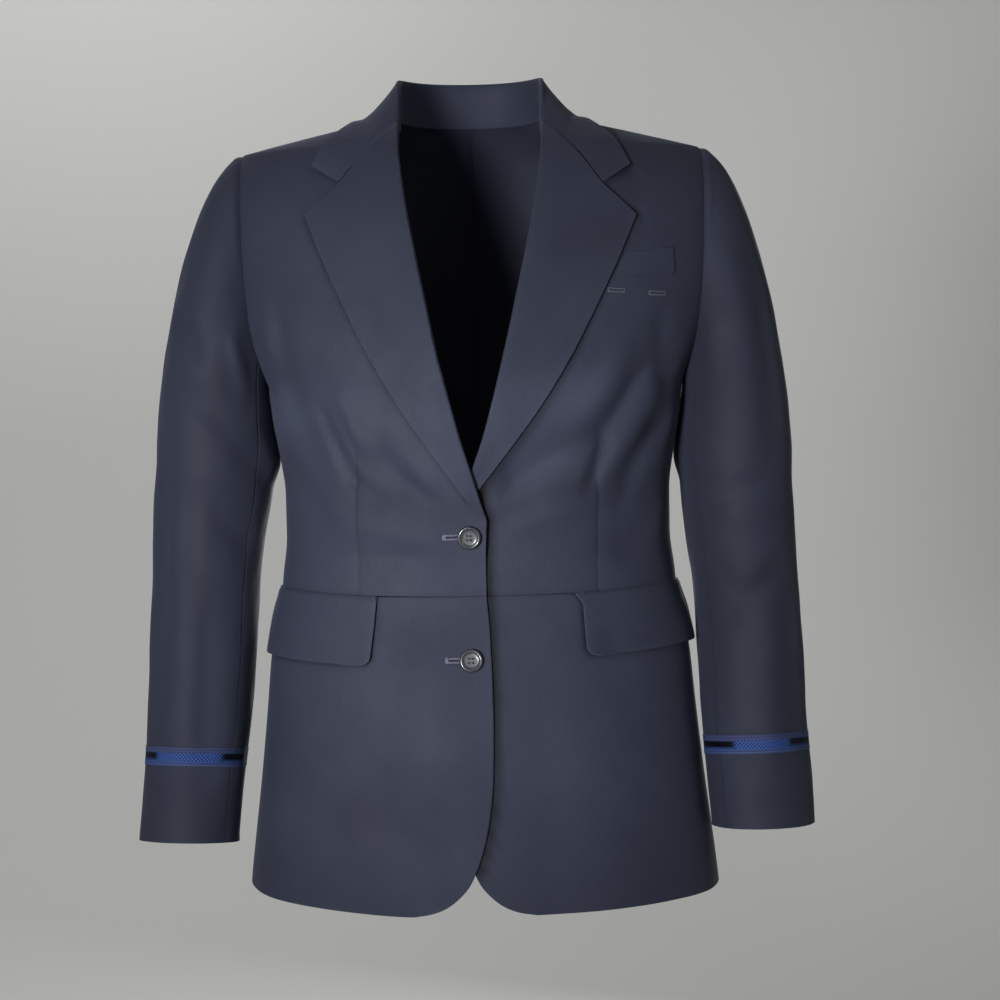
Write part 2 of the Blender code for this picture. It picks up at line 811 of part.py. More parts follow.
def braid_band(side, name):
    # A flat band round the sleeve, a little above the cuff
    table = sleeve_table(side)
    bottom = table[-1][0] + BRAID_ABOVE_HEM
    outer = []
    inner = []
    for share in (0.0, 0.12, 0.88, 1.0):
        z_row = bottom + BRAID_HEIGHT * (1.0 - share)
        puff = 0.0 if share in (0.0, 1.0) else 0.0003
        line = []
        back = []
        for step in range(-ARM_STEPS, ARM_STEPS):
            angle = math.pi * step / ARM_STEPS
            z = z_row - CUFF_FRONT_DROP * max(0.0, -math.sin(angle))
            here = sleeve_ring_point(side, step, z)
            ahead = sleeve_ring_point(side, step + 0.5, z)
            behind = sleeve_ring_point(side, step - 0.5, z)
            along = ahead - behind
            normal = Vector((along.y, -along.x, 0.0)).normalized()
            here = here + normal * sleeve_drape(side, step, z)
            line.append(mirrored(here + normal * (LIE_GAP + TRIM_WALL + puff), side))
            back.append(mirrored(here + normal * LIE_GAP, side))
        outer.append(line)
        inner.append(back)
    material = make_material(name, BRAID_COLOUR, 0.45)
    return wall_object(name, outer, inner, material, ring=True)


def lapel_profile(width, lift):
    # Section from the fold to the edge: distance from the roll line, height above the front
    flat = LIE_GAP + WALL
    turn = LAPEL_TURN * min(1.0, width / LAPEL_WIDE)
    rows = [(0.0, -0.0017), (0.0, 0.0012)]
    rows.append((0.27 * turn, lerp(flat, lift, 0.75)))
    rows.append((turn, lift))
    for share in LEAF_SHARES:
        place = max(turn + 0.05 * width, share * width)
        rows.append((place, lerp(lift, flat, smooth(share / 0.7))))
    return rows


def lapel(side, name):
    # The front's turned-back part: folded on the roll line, lying on the front at its outer edge
    rows = LAPEL_ROWS
    outer = []
    for r in range(rows):
        t = (r / (rows - 1)) ** 0.9
        roll_z = lerp(GORGE[0][2], LAPEL_FOOT_Z, t)
        edge_z = lerp(LAPEL_EDGE[0][0], LAPEL_FOOT_Z - 0.004, t)
        roll_x = border_x(side, roll_z)
        edge_x = side * closing_x(edge_z) + look_up(LAPEL_EDGE, 1, edge_z)
        width = max(0.008, math.hypot(edge_x - roll_x, edge_z - roll_z))
        lift = lerp(LAPEL_LIFT, LIE_GAP + WALL + 0.0002, smooth((-0.180 - roll_z) / 0.080))
        line = []
        for distance, off in lapel_profile(width, lift):
            share = distance / width
            straight_x = lerp(roll_x, max(edge_x, roll_x + 0.007), share)
            straight_z = lerp(roll_z, edge_z, share)
            bend_x = look_up(GORGE, 1, share) - lerp(GORGE[0][1], GORGE[-1][1], share)
            bend_z = look_up(GORGE, 2, share) - lerp(GORGE[0][2], GORGE[-1][2], share)
            keep = (1.0 - t) ** 4
            point, normal = front_point(side, straight_x + bend_x * keep, straight_z + bend_z * keep, off)
            line.append(point)
        outer.append(line)
    return turned_cloth(name, outer, side)


def turned_cloth(name, outer, side):
    # Thickens a folded piece towards its hidden side
    normals = grid_normals(outer)
    middle = len(outer) // 2
    if normals[middle][-3].y > 0.0:
        normals = [[-n for n in line] for line in normals]
    return wall_object(name, outer, thicken(outer, normals, WALL), cloth_material(name))


def held_clear(point, off, settle=False):
    # Moves a point out of the torso until it is at least this far off its surface;
    # a settled one is also let down to that height
    for _ in range(24):
        if point.z > 0.0:
            probe = Vector((point.x, point.y, 0.0))
        else:
            probe = point
        value = oval_value(probe.x, probe.y, probe.z)
        normal = torso_normal(probe)
        step = 0.0005
        ahead = probe + normal * step
        slope = (oval_value(ahead.x, ahead.y, ahead.z) - value) / step
        distance = (value - 1.0) / max(slope, 1.0)
        if distance >= off - 0.00002 and not (settle and distance > off + 0.00005):
            break
        point = point + normal * max(-0.001, min(0.004, off - distance))
    return point


def collar_column(share):
    # One section of the collar: from the fall's edge over the fold and down the stand
    neck = Vector([look_up(COLLAR, column, share) for column in (1, 2, 3)])
    fold = Vector([look_up(COLLAR, column, share) for column in (4, 5, 6)])
    edge = Vector([look_up(COLLAR, column, share) for column in (7, 8, 9)])
    stand = max(0.0, fold.z - neck.z)
    outward = Vector((fold.x, max(fold.y, -0.3 * fold.x), 0.0))
    outward = outward.normalized() if outward.length > 0.001 else Vector((0.0, 1.0, 0.0))
    crest = fold + outward * COLLAR_ROLL * smooth(stand / 0.02)
    flat = smooth((share - 0.70) / 0.30)
    control = lerp(crest, edge, 0.42) + Vector((0.0, 0.0, lerp(0.012, 0.0, flat)))
    lift = LIE_GAP + WALL
    edge = held_clear(edge, lift + 0.0018 * smooth((0.98 - share) / 0.10), True)
    line = []
    for t in LEAF_SHARES[::-1] + (0.06,):
        point = crest * (1 - t) ** 2 + control * 2 * t * (1 - t) + edge * t * t
        end_x_place = look_up(COLLAR_END, 1, t)
        end_z_place = look_up(COLLAR_END, 2, t)
        end_point = Vector((end_x_place, torso_y(end_x_place, end_z_place, True), end_z_place))
        end_lift = lerp(LAPEL_LIFT, lift, smooth(t / 0.6))
        end_point = end_point + torso_normal(end_point) * end_lift
        point = lerp(point, end_point, smooth((share - 0.66) / 0.34))
        line.append(held_clear(point, lift + 0.0004 + 0.0016 * smooth((0.98 - share) / 0.10)))
    line.append(fold + outward * COLLAR_TURN + Vector((0.0, 0.0, 0.0012)) * smooth(stand / 0.02))
    line.append(fold - Vector((0.0, 0.0, 0.003 * smooth(stand / 0.02))))
    line.append(lerp(fold, neck, 0.55))
    line.append(neck)
    return line


def collar(name):
    # Stand and fall in one piece, from gorge to gorge round the neck
    shares = [i / COLLAR_STEPS for i in range(COLLAR_STEPS + 1)]
    half = [collar_column(share) for share in shares]
    columns = [[mirrored(p, -1) for p in line] for line in half[:0:-1]] + half
    rows = [[columns[c][r] for c in range(len(columns))] for r in range(len(columns[0]))]
    normals = grid_normals(rows)
    middle = len(columns) // 2
    if normals[1][middle].y < 0.0:
        normals = [[-n for n in line] for line in normals]
    return wall_object(name, rows, thicken(rows, normals, WALL), cloth_material(name))


def flap(side, name):
    # A pocket flap hanging from the waist seam, its lower front corner rounded
    columns = FLAP_COLUMNS
    rows = FLAP_ROWS
    outer = []
    inner = []
    for r in range(rows):
        line = []
        back = []
        for c in range(columns):
            u = c / (columns - 1)
            u = lerp(u, u * u, 0.25)
            v = r / (rows - 1)
            v = 1.0 - (1.0 - v) ** 1.5
            inner_x = FLAP_INNER_X + FLAP_SLANT * v ** 2
            round_in = max(0.0, 1.0 - (1.0 - v) * FLAP_DROP / FLAP_CORNER)
            inner_x += FLAP_CORNER * (1.0 - math.sqrt(max(0.0, 1.0 - round_in ** 2)))
            top = waist_z(inner_x) - 0.0008
            z = top - FLAP_DROP * v
            width = full_width(z, True)
            first = math.asin((inner_x / width) ** (ROUNDNESS / 2.0))
            angle = lerp(first, FLAP_SIDE_ANGLE, u)
            x = width * math.sin(angle) ** (2.0 / ROUNDNESS)
            z = waist_z(x) - 0.0008 - FLAP_DROP * v
            flare = FLAP_SIDE_FLARE * v * smooth((u - 0.6) / 0.4)
            flare += FLAP_CORNER_FLARE * v * (1.0 - smooth(u / 0.15))
            point, normal = front_point(side, x, z, LIE_GAP + WALL + flare)
            line.append(point)
            back.append(point - normal * WALL)
        outer.append(line)
        inner.append(back)
    return wall_object(name, outer, inner, cloth_material(name))


def welt(side, name):
    # A slanted strip lying on the chest
    columns = WELT_COLUMNS
    rows = WELT_ROWS
    outer = []
    inner = []
    for r in range(rows):
        v = r / (rows - 1)
        line = []
        back = []
        for c in range(columns):
            u = c / (columns - 1)
            above = [lerp(WELT_TOP[0][i], WELT_TOP[1][i], u) for i in range(2)]
            below = [lerp(WELT_BOTTOM[0][i], WELT_BOTTOM[1][i], u) for i in range(2)]
            x = lerp(above[0], below[0], v)
            z = lerp(above[1], below[1], v)
            point, normal = front_point(side, x, z, LIE_GAP + WALL)
            line.append(point)
            back.append(point - normal * WALL)
        outer.append(line)
        inner.append(back)
    return wall_object(name, outer, inner, cloth_material(name))


def turned_disc(name, profile, segments):
    shape = bmesh.new()
    rings = []
    for radius, height in profile:
        if radius == 0.0:
            rings.append([shape.verts.new((0.0, 0.0, height))])
            continue
        ring = []
        for i in range(segments):
            angle = 2.0 * math.pi * i / segments
            ring.append(shape.verts.new((radius * math.cos(angle), radius * math.sin(angle), height)))
        rings.append(ring)
    for above, below in zip(rings, rings[1:]):
        for i in range(segments):
            j = (i + 1) % segments
            if len(above) == 1:
                shape.faces.new((above[0], below[i], below[j]))
            elif len(below) == 1:
                shape.faces.new((above[i], below[0], above[j]))
            else:
                shape.faces.new((above[i], below[i], below[j], above[j]))
    bmesh.ops.recalc_face_normals(shape, faces=shape.faces[:])
    mesh = bpy.data.meshes.new(name)
    shape.to_mesh(mesh)
    shape.free()
    mesh.shade_smooth()
    mesh.set_sharp_from_angle(angle=math.radians(40))
    return mesh


def hole_cutter(name):
    # Four round pins in one mesh
    shape = bmesh.new()
    for i in range(4):
        angle = math.radians(45 + 90 * i)
        made = bmesh.ops.create_cone(
            shape, cap_ends=True, segments=8, radius1=HOLE_RADIUS, radius2=HOLE_RADIUS, depth=HOLE_DEPTH)
        place = Vector((HOLE_SPREAD * math.cos(angle), HOLE_SPREAD * math.sin(angle), 0.001))
        bmesh.ops.translate(shape, verts=made["verts"], vec=place)
    mesh = bpy.data.meshes.new(name)
    shape.to_mesh(mesh)
    shape.free()
    return mesh


def button(name, height):
    # A turned disc with a raised rim and four sewing holes, resting on the overlapping front
    place, normal = front_point(-1, -closing_x(height), height, BUTTON_STAND)
    thing = add_object(name, turned_disc(name, BUTTON_PROFILE, BUTTON_SEGMENTS),
                       make_material(name, BUTTON_COLOUR, 0.25))
    turn = normal.to_track_quat("Z", "Y")
    thing.location = place
    thing.rotation_euler = turn.to_euler()
    cutter = bpy.data.objects.new(name + "_holes", hole_cutter(name + "_holes"))
    bpy.context.scene.collection.objects.link(cutter)
    cutter.location = place
    cutter.rotation_euler = turn.to_euler()
    cutter.hide_render = True
    cutter.display_type = "WIRE"
    cut = thing.modifiers.new("holes", "BOOLEAN")
    cut.operation = "DIFFERENCE"
    cut.solver = "EXACT"
    cut.object = cutter
    return thing


def build_jacket():
    clear_scene()
    front_panel(1, "front_left")
    front_panel(-1, "front_right")
    skirt_panel(1, "skirt_left")
    skirt_panel(-1, "skirt_right")
    back_panel(1, "back_left")
    back_panel(-1, "back_right")
    sleeve_pair(1, "upper_sleeve_left", "under_sleeve_left")
    sleeve_pair(-1, "upper_sleeve_right", "under_sleeve_right")
    braid_band(1, "braid_left")
    braid_band(-1, "braid_right")
    lapel(1, "lapel_left")
    lapel(-1, "lapel_right")
    collar("collar")
    flap(1, "flap_left")
    flap(-1, "flap_right")
    welt(1, "breast_welt")
    button("button_top", BUTTON_HEIGHTS[0])
    button("button_bottom", BUTTON_HEIGHTS[1])


build_jacket()
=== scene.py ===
# Pilot uniform jacket, dressed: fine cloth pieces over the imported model, with sewing and braid
# Metres, +Z up. The front faces -Y, the wearer's left is +X.
import math

import bmesh
import bpy
import numpy as np
from mathutils import Matrix, Vector


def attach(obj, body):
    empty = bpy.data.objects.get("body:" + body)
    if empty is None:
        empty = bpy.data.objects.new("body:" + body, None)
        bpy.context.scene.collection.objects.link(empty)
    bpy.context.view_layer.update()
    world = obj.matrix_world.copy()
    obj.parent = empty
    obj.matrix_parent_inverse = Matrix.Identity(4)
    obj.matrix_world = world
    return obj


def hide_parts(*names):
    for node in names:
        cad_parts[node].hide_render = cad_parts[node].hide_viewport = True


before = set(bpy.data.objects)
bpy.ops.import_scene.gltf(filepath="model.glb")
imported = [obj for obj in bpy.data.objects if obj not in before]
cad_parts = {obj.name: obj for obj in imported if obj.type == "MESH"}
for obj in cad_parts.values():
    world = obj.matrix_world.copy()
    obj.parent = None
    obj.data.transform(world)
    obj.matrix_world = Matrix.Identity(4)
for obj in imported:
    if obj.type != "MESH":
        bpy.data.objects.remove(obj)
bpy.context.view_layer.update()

# Cloth
WALL = 0.0018
SEAM_GAP = -0.0001
LIE_GAP = 0.0008
RIM_ROUND = 0.0004
ROUNDNESS = 2.3

# Shoulders and armholes
NECK_X = 0.064
SHOULDER_X = 0.202
SHOULDER_Z = -0.031
SHOULDER_BEND = 1.15
UNDERARM_Z = -0.236
ARMHOLE_FRONT = 0.054
ARMHOLE_BACK = 0.064
ARMHOLE_OVAL = 2.2
ARM_STEPS = 14

# Closing
LAP_LIFT = 0.0026
LAP_LIFT_UNDER_LAPEL = 0.0058
LAPEL_GAP = 0.0038

# Hem and waist heights
HEM_Z = -0.687
HEM_RISE_RIGHT = 0.017
HEM_RISE_LEFT = 0.009
HEM_BACK_Z = -0.672
WAIST_Z = -0.4188
WAIST_RISE = 0.008

# Torso sections: height, front depth, back depth, half width
TORSO = (
    (0.000, 0.036, 0.058, 0.0640),
    (-0.014, 0.050, 0.073, 0.1300),
    (-0.031, 0.068, 0.087, 0.2020),
    (-0.060, 0.087, 0.101, 0.2025),
    (-0.100, 0.104, 0.111, 0.2013),
    (-0.140, 0.116, 0.116, 0.1995),
    (-0.170, 0.123, 0.117, 0.1968),
    (-0.200, 0.128, 0.115, 0.1925),
    (-0.220, 0.130, 0.112, 0.1870),
    (-0.236, 0.131, 0.110, 0.1830),
    (-0.263, 0.130, 0.105, 0.1803),
    (-0.298, 0.126, 0.098, 0.1742),
    (-0.330, 0.120, 0.092, 0.1702),
    (-0.368, 0.114, 0.088, 0.1700),
    (-0.400, 0.110, 0.087, 0.1735),
    (-0.419, 0.109, 0.088, 0.1755),
    (-0.445, 0.111, 0.094, 0.1815),
    (-0.476, 0.115, 0.102, 0.1860),
    (-0.517, 0.120, 0.110, 0.1898),
    (-0.575, 0.124, 0.117, 0.1958),
    (-0.625, 0.127, 0.121, 0.2018),
    (-0.660, 0.129, 0.124, 0.2060),
    (-0.700, 0.131, 0.126, 0.2100),
)

# Front border, measured outwards from the closing line: roll line, straight edge, rounded corner
FRONT_BORDER = (
    (0.000, 0.0640),
    (-0.012, 0.0615),
    (-0.032, 0.0612),
    (-0.053, 0.0590),
    (-0.092, 0.0530),
    (-0.128, 0.0460),
    (-0.159, 0.0395),
    (-0.198, 0.0312),
    (-0.219, 0.0266),
    (-0.286, 0.0100),
    (-0.315, 0.0005),
    (-0.340, -0.0085),
    (-0.358, -0.0150),
    (-0.400, -0.0155),
    (-0.450, -0.0165),
    (-0.520, -0.0178),
    (-0.573, -0.0167),
    (-0.600, -0.0140),
    (-0.630, -0.0080),
    (-0.650, -0.0010),
    (-0.662, 0.0050),
    (-0.672, 0.0140),
    (-0.680, 0.0250),
    (-0.6845, 0.0370),
    (-0.687, 0.0520),
)

# Closing line: height, sideways place
CLOSING = (
    (0.000, 0.0000),
    (-0.100, -0.0010),
    (-0.200, -0.0025),
    (-0.290, -0.0045),
    (-0.350, -0.0066),
    (-0.420, -0.0070),
    (-0.700, -0.0070),
)

# How much further the overlapping front reaches over the other: height, width
OVERLAP = (
    (-0.220, 0.0000),
    (-0.270, 0.0018),
    (-0.312, 0.0026),
    (-0.332, 0.0022),
    (-0.350, 0.0009),
    (-0.362, -0.0006),
    (-0.388, -0.0016),
    (-0.418, -0.0018),
    (-0.450, -0.0003),
    (-0.480, 0.0000),
)

# Lapel outer edge: height, place sideways from the closing line
LAPEL_EDGE = (
    (-0.094, 0.1415),
    (-0.142, 0.1215),
    (-0.177, 0.1050),
    (-0.218, 0.0840),
    (-0.260, 0.0585),
    (-0.287, 0.0390),
    (-0.315, 0.0180),
    (-0.333, 0.0045),
    (-0.345, -0.0045),
    (-0.358, -0.0120),
)
LAPEL_FOOT_Z = -0.352
# How far the notch lies below its tabled height
NOTCH_DROP_RIGHT = -0.0016
NOTCH_DROP_LEFT = 0.0028

# Gorge seam and notch: how far along, sideways, height
GORGE = (
    (0.00, 0.0618, -0.0140),
    (0.25, 0.0800, -0.0285),
    (0.48, 0.0965, -0.0450),
    (0.72, 0.1130, -0.0670),
    (1.00, 0.1425, -0.0940),
)
COLLAR_END = (
    (0.00, 0.0619, -0.0137),
    (0.25, 0.0802, -0.0282),
    (0.48, 0.0967, -0.0447),
    (0.72, 0.1128, -0.0664),
    (1.00, 0.1365, -0.0505),
)

# Shade beside the wearer's left lapel: depth below the neck, width, strength
LAPEL_SHADES = ((0.150, 0.0050, 0.58), (0.236, 0.0105, 0.70), (0.295, 0.0170, 0.76))

# Collar's outer edge, its end, the notch and the lapel's point: sideways, height
COLLAR_LINE = ((0.1050, -0.0100), (0.1375, -0.0510), (0.1130, -0.0670), (0.1435, -0.0950))

# Collar stations from the centre back to the gorge:
# how far along, neck x, y, z, fold x, y, z, edge x, y, z
COLLAR = (
    (0.00, 0.0000, 0.0570, 0.0010, 0.0000, 0.0560, 0.0365, 0.0000, 0.0840, -0.0130),
    (0.15, 0.0240, 0.0535, 0.0010, 0.0240, 0.0525, 0.0365, 0.0330, 0.0800, -0.0130),
    (0.30, 0.0440, 0.0420, 0.0010, 0.0435, 0.0415, 0.0363, 0.0640, 0.0670, -0.0120),
    (0.44, 0.0575, 0.0240, 0.0010, 0.0565, 0.0240, 0.0358, 0.0880, 0.0440, -0.0080),
    (0.56, 0.0618, 0.0080, 0.0010, 0.0612, 0.0080, 0.0343, 0.0905, 0.0180, -0.0030),
    (0.68, 0.0620, -0.0080, 0.0008, 0.0618, -0.0080, 0.0295, 0.0960, -0.0100, -0.0030),
    (0.80, 0.0620, -0.0230, -0.0040, 0.0618, -0.0220, 0.0185, 0.1060, -0.0300, -0.0110),
    (0.90, 0.0618, -0.0350, -0.0090, 0.0618, -0.0350, 0.0040, 0.1190, -0.0470, -0.0270),
    (1.00, 0.0615, -0.0440, -0.0150, 0.0618, -0.0455, -0.0128, 0.1365, -0.0620, -0.0505),
)

# Sleeve sections below the cap: height, centre x, half width, centre y, half depth
SLEEVE_RIGHT = (
    (-0.300, 0.2320, 0.0530, 0.0030, 0.0680),
    (-0.330, 0.2352, 0.0523, 0.0030, 0.0660),
    (-0.370, 0.2398, 0.0497, 0.0020, 0.0640),
    (-0.420, 0.2430, 0.0470, -0.0010, 0.0610),
    (-0.470, 0.2455, 0.0465, -0.0070, 0.0570),
    (-0.520, 0.2485, 0.0455, -0.0150, 0.0520),
    (-0.560, 0.2520, 0.0440, -0.0220, 0.0480),
    (-0.600, 0.2560, 0.0440, -0.0290, 0.0450),
    (-0.627, 0.2585, 0.0437, -0.0345, 0.0440),
)
SLEEVE_LEFT = (
    (-0.300, 0.2285, 0.0510, 0.0030, 0.0680),
    (-0.330, 0.2299, 0.0491, 0.0030, 0.0660),
    (-0.370, 0.2320, 0.0480, 0.0020, 0.0640),
    (-0.420, 0.2360, 0.0460, -0.0010, 0.0610),
    (-0.470, 0.2380, 0.0460, -0.0080, 0.0570),
    (-0.520, 0.2395, 0.0460, -0.0180, 0.0520),
    (-0.560, 0.2415, 0.0457, -0.0270, 0.0480),
    (-0.600, 0.2440, 0.0455, -0.0350, 0.0450),
    (-0.625, 0.2448, 0.0451, -0.0395, 0.0440),
)
CAP_OUT = 0.95
CAP_START = 0.55
CAP_END = 0.71
FRONT_SLEEVE_SEAM = 18
HIND_SLEEVE_SEAM = 6
# How far the cuff's edge lies below its height: all round, towards the outer side, towards the back
CUFF_TILT_RIGHT = (0.0055, -0.0015, 0.0038)
CUFF_TILT_LEFT = (0.0012, -0.0006, 0.0009)
BRAID_TILT_RIGHT = (0.0061, -0.0019, 0.0041)
BRAID_TILT_LEFT = (0.0048, -0.0012, 0.0034)
ROPE_HEIGHT = 0.0011
ROPE_PLACE = 0.006
ROPE_WIDTH = 0.0045

# Braid above each cuff
BRAID_ABOVE_HEM = 0.0655
BRAID_HEIGHT = 0.0165
BRAID_WALL = 0.0006

# Braid colours: height from 0 at the lower edge to 1, colour
BRAID_STOPS = (
    (0.00, (0.026, 0.036, 0.100)),
    (0.06, (0.046, 0.064, 0.155)),
    (0.12, (0.020, 0.031, 0.098)),
    (0.19, (0.036, 0.056, 0.160)),
    (0.26, (0.014, 0.026, 0.098)),
    (0.70, (0.028, 0.035, 0.088)),
    (0.76, (0.042, 0.050, 0.108)),
    (0.83, (0.022, 0.028, 0.075)),
    (0.89, (0.040, 0.048, 0.106)),
    (0.95, (0.026, 0.032, 0.080)),
)
WEAVE_LOW = 0.24
WEAVE_HIGH = 0.70
STRIPE_LOW = 0.38
STRIPE_HIGH = 0.67
# Angles between which each braid's centre stripe is woven blue, from the outer side round by the front; outside them
# the stripe is painted black, a painted shade where it turns away from the light
STRIPE_RIGHT = (-46, -127)
STRIPE_LEFT = (-56, -120)

# Pocket flaps and breast welt
FLAP_INNER_X = 0.0860
FLAP_DROP_RIGHT = 0.0600
FLAP_DROP_LEFT = 0.0550
FLAP_CORNER_RIGHT = 0.0075
FLAP_CORNER_LEFT = 0.0095
FLAP_SIDE_ANGLE = math.radians(86)
WELT_TOP = ((0.1300, -0.1300), (0.1722, -0.1234))
WELT_BOTTOM = ((0.1190, -0.1535), (0.1735, -0.1488))

# Buttons, buttonholes and eyelets
BUTTON_HEIGHTS = (-0.3677, -0.4731)
BUTTON_PROFILE = (
    (0.0000, 0.0019),
    (0.0030, 0.0019),
    (0.0052, 0.0019),
    (0.0060, 0.0020),
    (0.0066, 0.0024),
    (0.0072, 0.0030),
    (0.0080, 0.0034),
    (0.0088, 0.0034),
    (0.0095, 0.0030),
    (0.0099, 0.0024),
    (0.0100, 0.0017),
    (0.0096, 0.0010),
    (0.0086, 0.0004),
    (0.0070, 0.0001),
    (0.0000, 0.0000),
)
HOLE_RADIUS = 0.0010
HOLE_SPREAD = 0.0025
BUTTONHOLE_LEFT = 0.0264
BUTTONHOLE_LENGTH = 0.022
EYELETS = ((0.1148, -0.1614, 0.0132, -4.0), (0.1500, -0.1640, 0.0136, -0.5))

# Dart down each front: place outwards, top, foot
DART_X = 0.1025
DART_TOP_RIGHT = -0.287
DART_TOP_LEFT = -0.309
DART_FOOT_Z = -0.414

# Creases on the fronts:
# side, start x, start z, end x, end z, half width, depth (minus is a trough), skew
FRONT_CREASES = (
    (-1, 0.022, -0.348, 0.100, -0.290, 0.012, -0.0046, 0.3),
    (-1, 0.026, -0.372, 0.140, -0.345, 0.012, 0.0026, 0.0),
    (-1, 0.030, -0.336, 0.080, -0.268, 0.009, 0.0026, 0.0),
    (-1, 0.136, -0.252, 0.104, -0.326, 0.0050, -0.0044, 0.5),
    (-1, 0.118, -0.260, 0.094, -0.310, 0.0045, -0.0022, 0.4),
    (-1, 0.118, -0.238, 0.090, -0.306, 0.010, 0.0036, 0.0),
    (-1, 0.112, -0.316, 0.070, -0.342, 0.006, -0.0022, 0.0),
    (-1, 0.168, -0.228, 0.128, -0.320, 0.012, -0.0040, 0.3),
    (-1, 0.165, -0.300, 0.125, -0.370, 0.013, -0.0028, 0.0),
    (-1, 0.040, -0.385, 0.150, -0.386, 0.010, -0.0018, 0.0),
    (-1, 0.170, -0.175, 0.158, -0.265, 0.009, -0.0034, 0.0),
    (-1, 0.178, -0.160, 0.176, -0.225, 0.007, 0.0022, 0.0),
    (1, 0.012, -0.338, 0.110, -0.270, 0.013, -0.0056, -0.4),
    (1, 0.022, -0.362, 0.150, -0.322, 0.012, 0.0030, 0.0),
    (1, 0.014, -0.352, 0.060, -0.345, 0.009, -0.0022, 0.0),
    (1, 0.117, -0.290, 0.090, -0.336, 0.0055, -0.0034, 0.4),
    (1, 0.106, -0.286, 0.082, -0.330, 0.006, 0.0020, 0.0),
    (1, 0.150, -0.222, 0.096, -0.312, 0.0090, -0.0076, 0.5),
    (1, 0.132, -0.205, 0.072, -0.300, 0.013, 0.0036, 0.0),
    (1, 0.170, -0.262, 0.116, -0.345, 0.0090, -0.0064, 0.3),
    (1, 0.160, -0.238, 0.108, -0.325, 0.0080, 0.0026, 0.0),
    (1, 0.172, -0.330, 0.140, -0.400, 0.012, 0.0026, 0.0),
    (1, 0.160, -0.180, 0.166, -0.260, 0.010, -0.0034, 0.0),
    (1, 0.124, -0.0530, 0.153, -0.0675, 0.0030, -0.0024, 0.0),
    (1, 0.128, -0.0640, 0.150, -0.0800, 0.0040, -0.0014, 0.0),
    (1, 0.140, -0.085, 0.150, -0.112, 0.005, -0.0012, 0.0),
)

# Long soft waves of the skirt: side, place outwards, half width, depth at the hem
SKIRT_WAVES = (
    (-1, 0.050, 0.024, 0.0010),
    (-1, 0.110, 0.020, -0.0006),
    (-1, 0.160, 0.020, 0.0014),
    (1, 0.040, 0.020, -0.0012),
    (1, 0.085, 0.024, 0.0008),
    (1, 0.135, 0.020, -0.0010),
    (1, 0.172, 0.016, 0.0014),
)

# Creases on the back: start x, start z, end x, end z, half width, depth; x over the whole back
BACK_CREASES = (
    (0.150, -0.250, 0.060, -0.330, 0.016, -0.0022),
    (-0.145, -0.240, -0.070, -0.340, 0.016, -0.0024),
    (0.120, -0.370, -0.100, -0.385, 0.014, 0.0016),
    (0.100, -0.410, -0.120, -0.400, 0.012, -0.0014),
    (0.175, -0.120, 0.140, -0.240, 0.014, -0.0026),
    (-0.178, -0.120, -0.145, -0.250, 0.014, -0.0022),
)

# Creases on the sleeves: side, start angle, start z, end angle, end z, half width, depth.
# Angle 0 is the outer side, -90 the front, 90 the back, 180 the side next to the body.
SLEEVE_CREASES = (
    (-1, -28, -0.172, -78, -0.208, 0.010, -0.0044),
    (-1, -30, -0.150, -85, -0.180, 0.014, 0.0024),
    (-1, -50, -0.235, -120, -0.275, 0.013, -0.0028),
    (-1, -100, -0.190, -128, -0.245, 0.008, 0.0026),
    (-1, -112, -0.290, -165, -0.320, 0.011, -0.0020),
    (-1, -95, -0.345, -150, -0.378, 0.011, -0.0018),
    (-1, -80, -0.372, -130, -0.400, 0.012, 0.0014),
    (-1, -35, -0.270, -48, -0.500, 0.016, -0.0030),
    (-1, -62, -0.320, -74, -0.560, 0.015, 0.0024),
    (-1, -15, -0.400, -22, -0.590, 0.014, 0.0018),
    (-1, -98, -0.430, -108, -0.590, 0.014, -0.0020),
    (1, -38, -0.120, -52, -0.320, 0.017, -0.0036),
    (1, -66, -0.150, -76, -0.330, 0.016, 0.0018),
    (1, -56, -0.320, -140, -0.352, 0.011, -0.0026),
    (1, -36, -0.375, -110, -0.412, 0.012, 0.0034),
    (1, -40, -0.398, -120, -0.440, 0.011, -0.0026),
    (1, -72, -0.430, -84, -0.590, 0.015, 0.0022),
    (1, -40, -0.420, -46, -0.580, 0.015, -0.0024),
    (1, -14, -0.300, -20, -0.540, 0.014, 0.0018),
    (-1, 50, -0.290, 150, -0.345, 0.014, -0.0044),
    (-1, 60, -0.335, 155, -0.385, 0.013, 0.0036),
    (-1, 70, -0.160, 110, -0.270, 0.014, -0.0038),
    (-1, 40, -0.420, 60, -0.590, 0.016, 0.0024),
    (1, 48, -0.300, 150, -0.340, 0.014, -0.0044),
    (1, 58, -0.345, 150, -0.390, 0.013, 0.0034),
    (1, 72, -0.150, 112, -0.265, 0.014, -0.0036),
    (1, 42, -0.430, 66, -0.590, 0.016, 0.0024),
)

# Broad painted highlights and painted shade on the sleeves: side, angle, breadth, top, bottom, amount
SLEEVE_PAINTED_LIGHT = (
    (-1, -92.0, 24.0, -0.170, -0.480, -0.15),
    (-1, -165.0, 26.0, -0.180, -0.500, 0.60),
    (-1, -128.0, 20.0, -0.340, -0.620, 0.26),
    (1, -118.0, 32.0, -0.110, -0.560, -0.30),
    (1, -44.0, 18.0, -0.170, -0.360, 0.26),
)
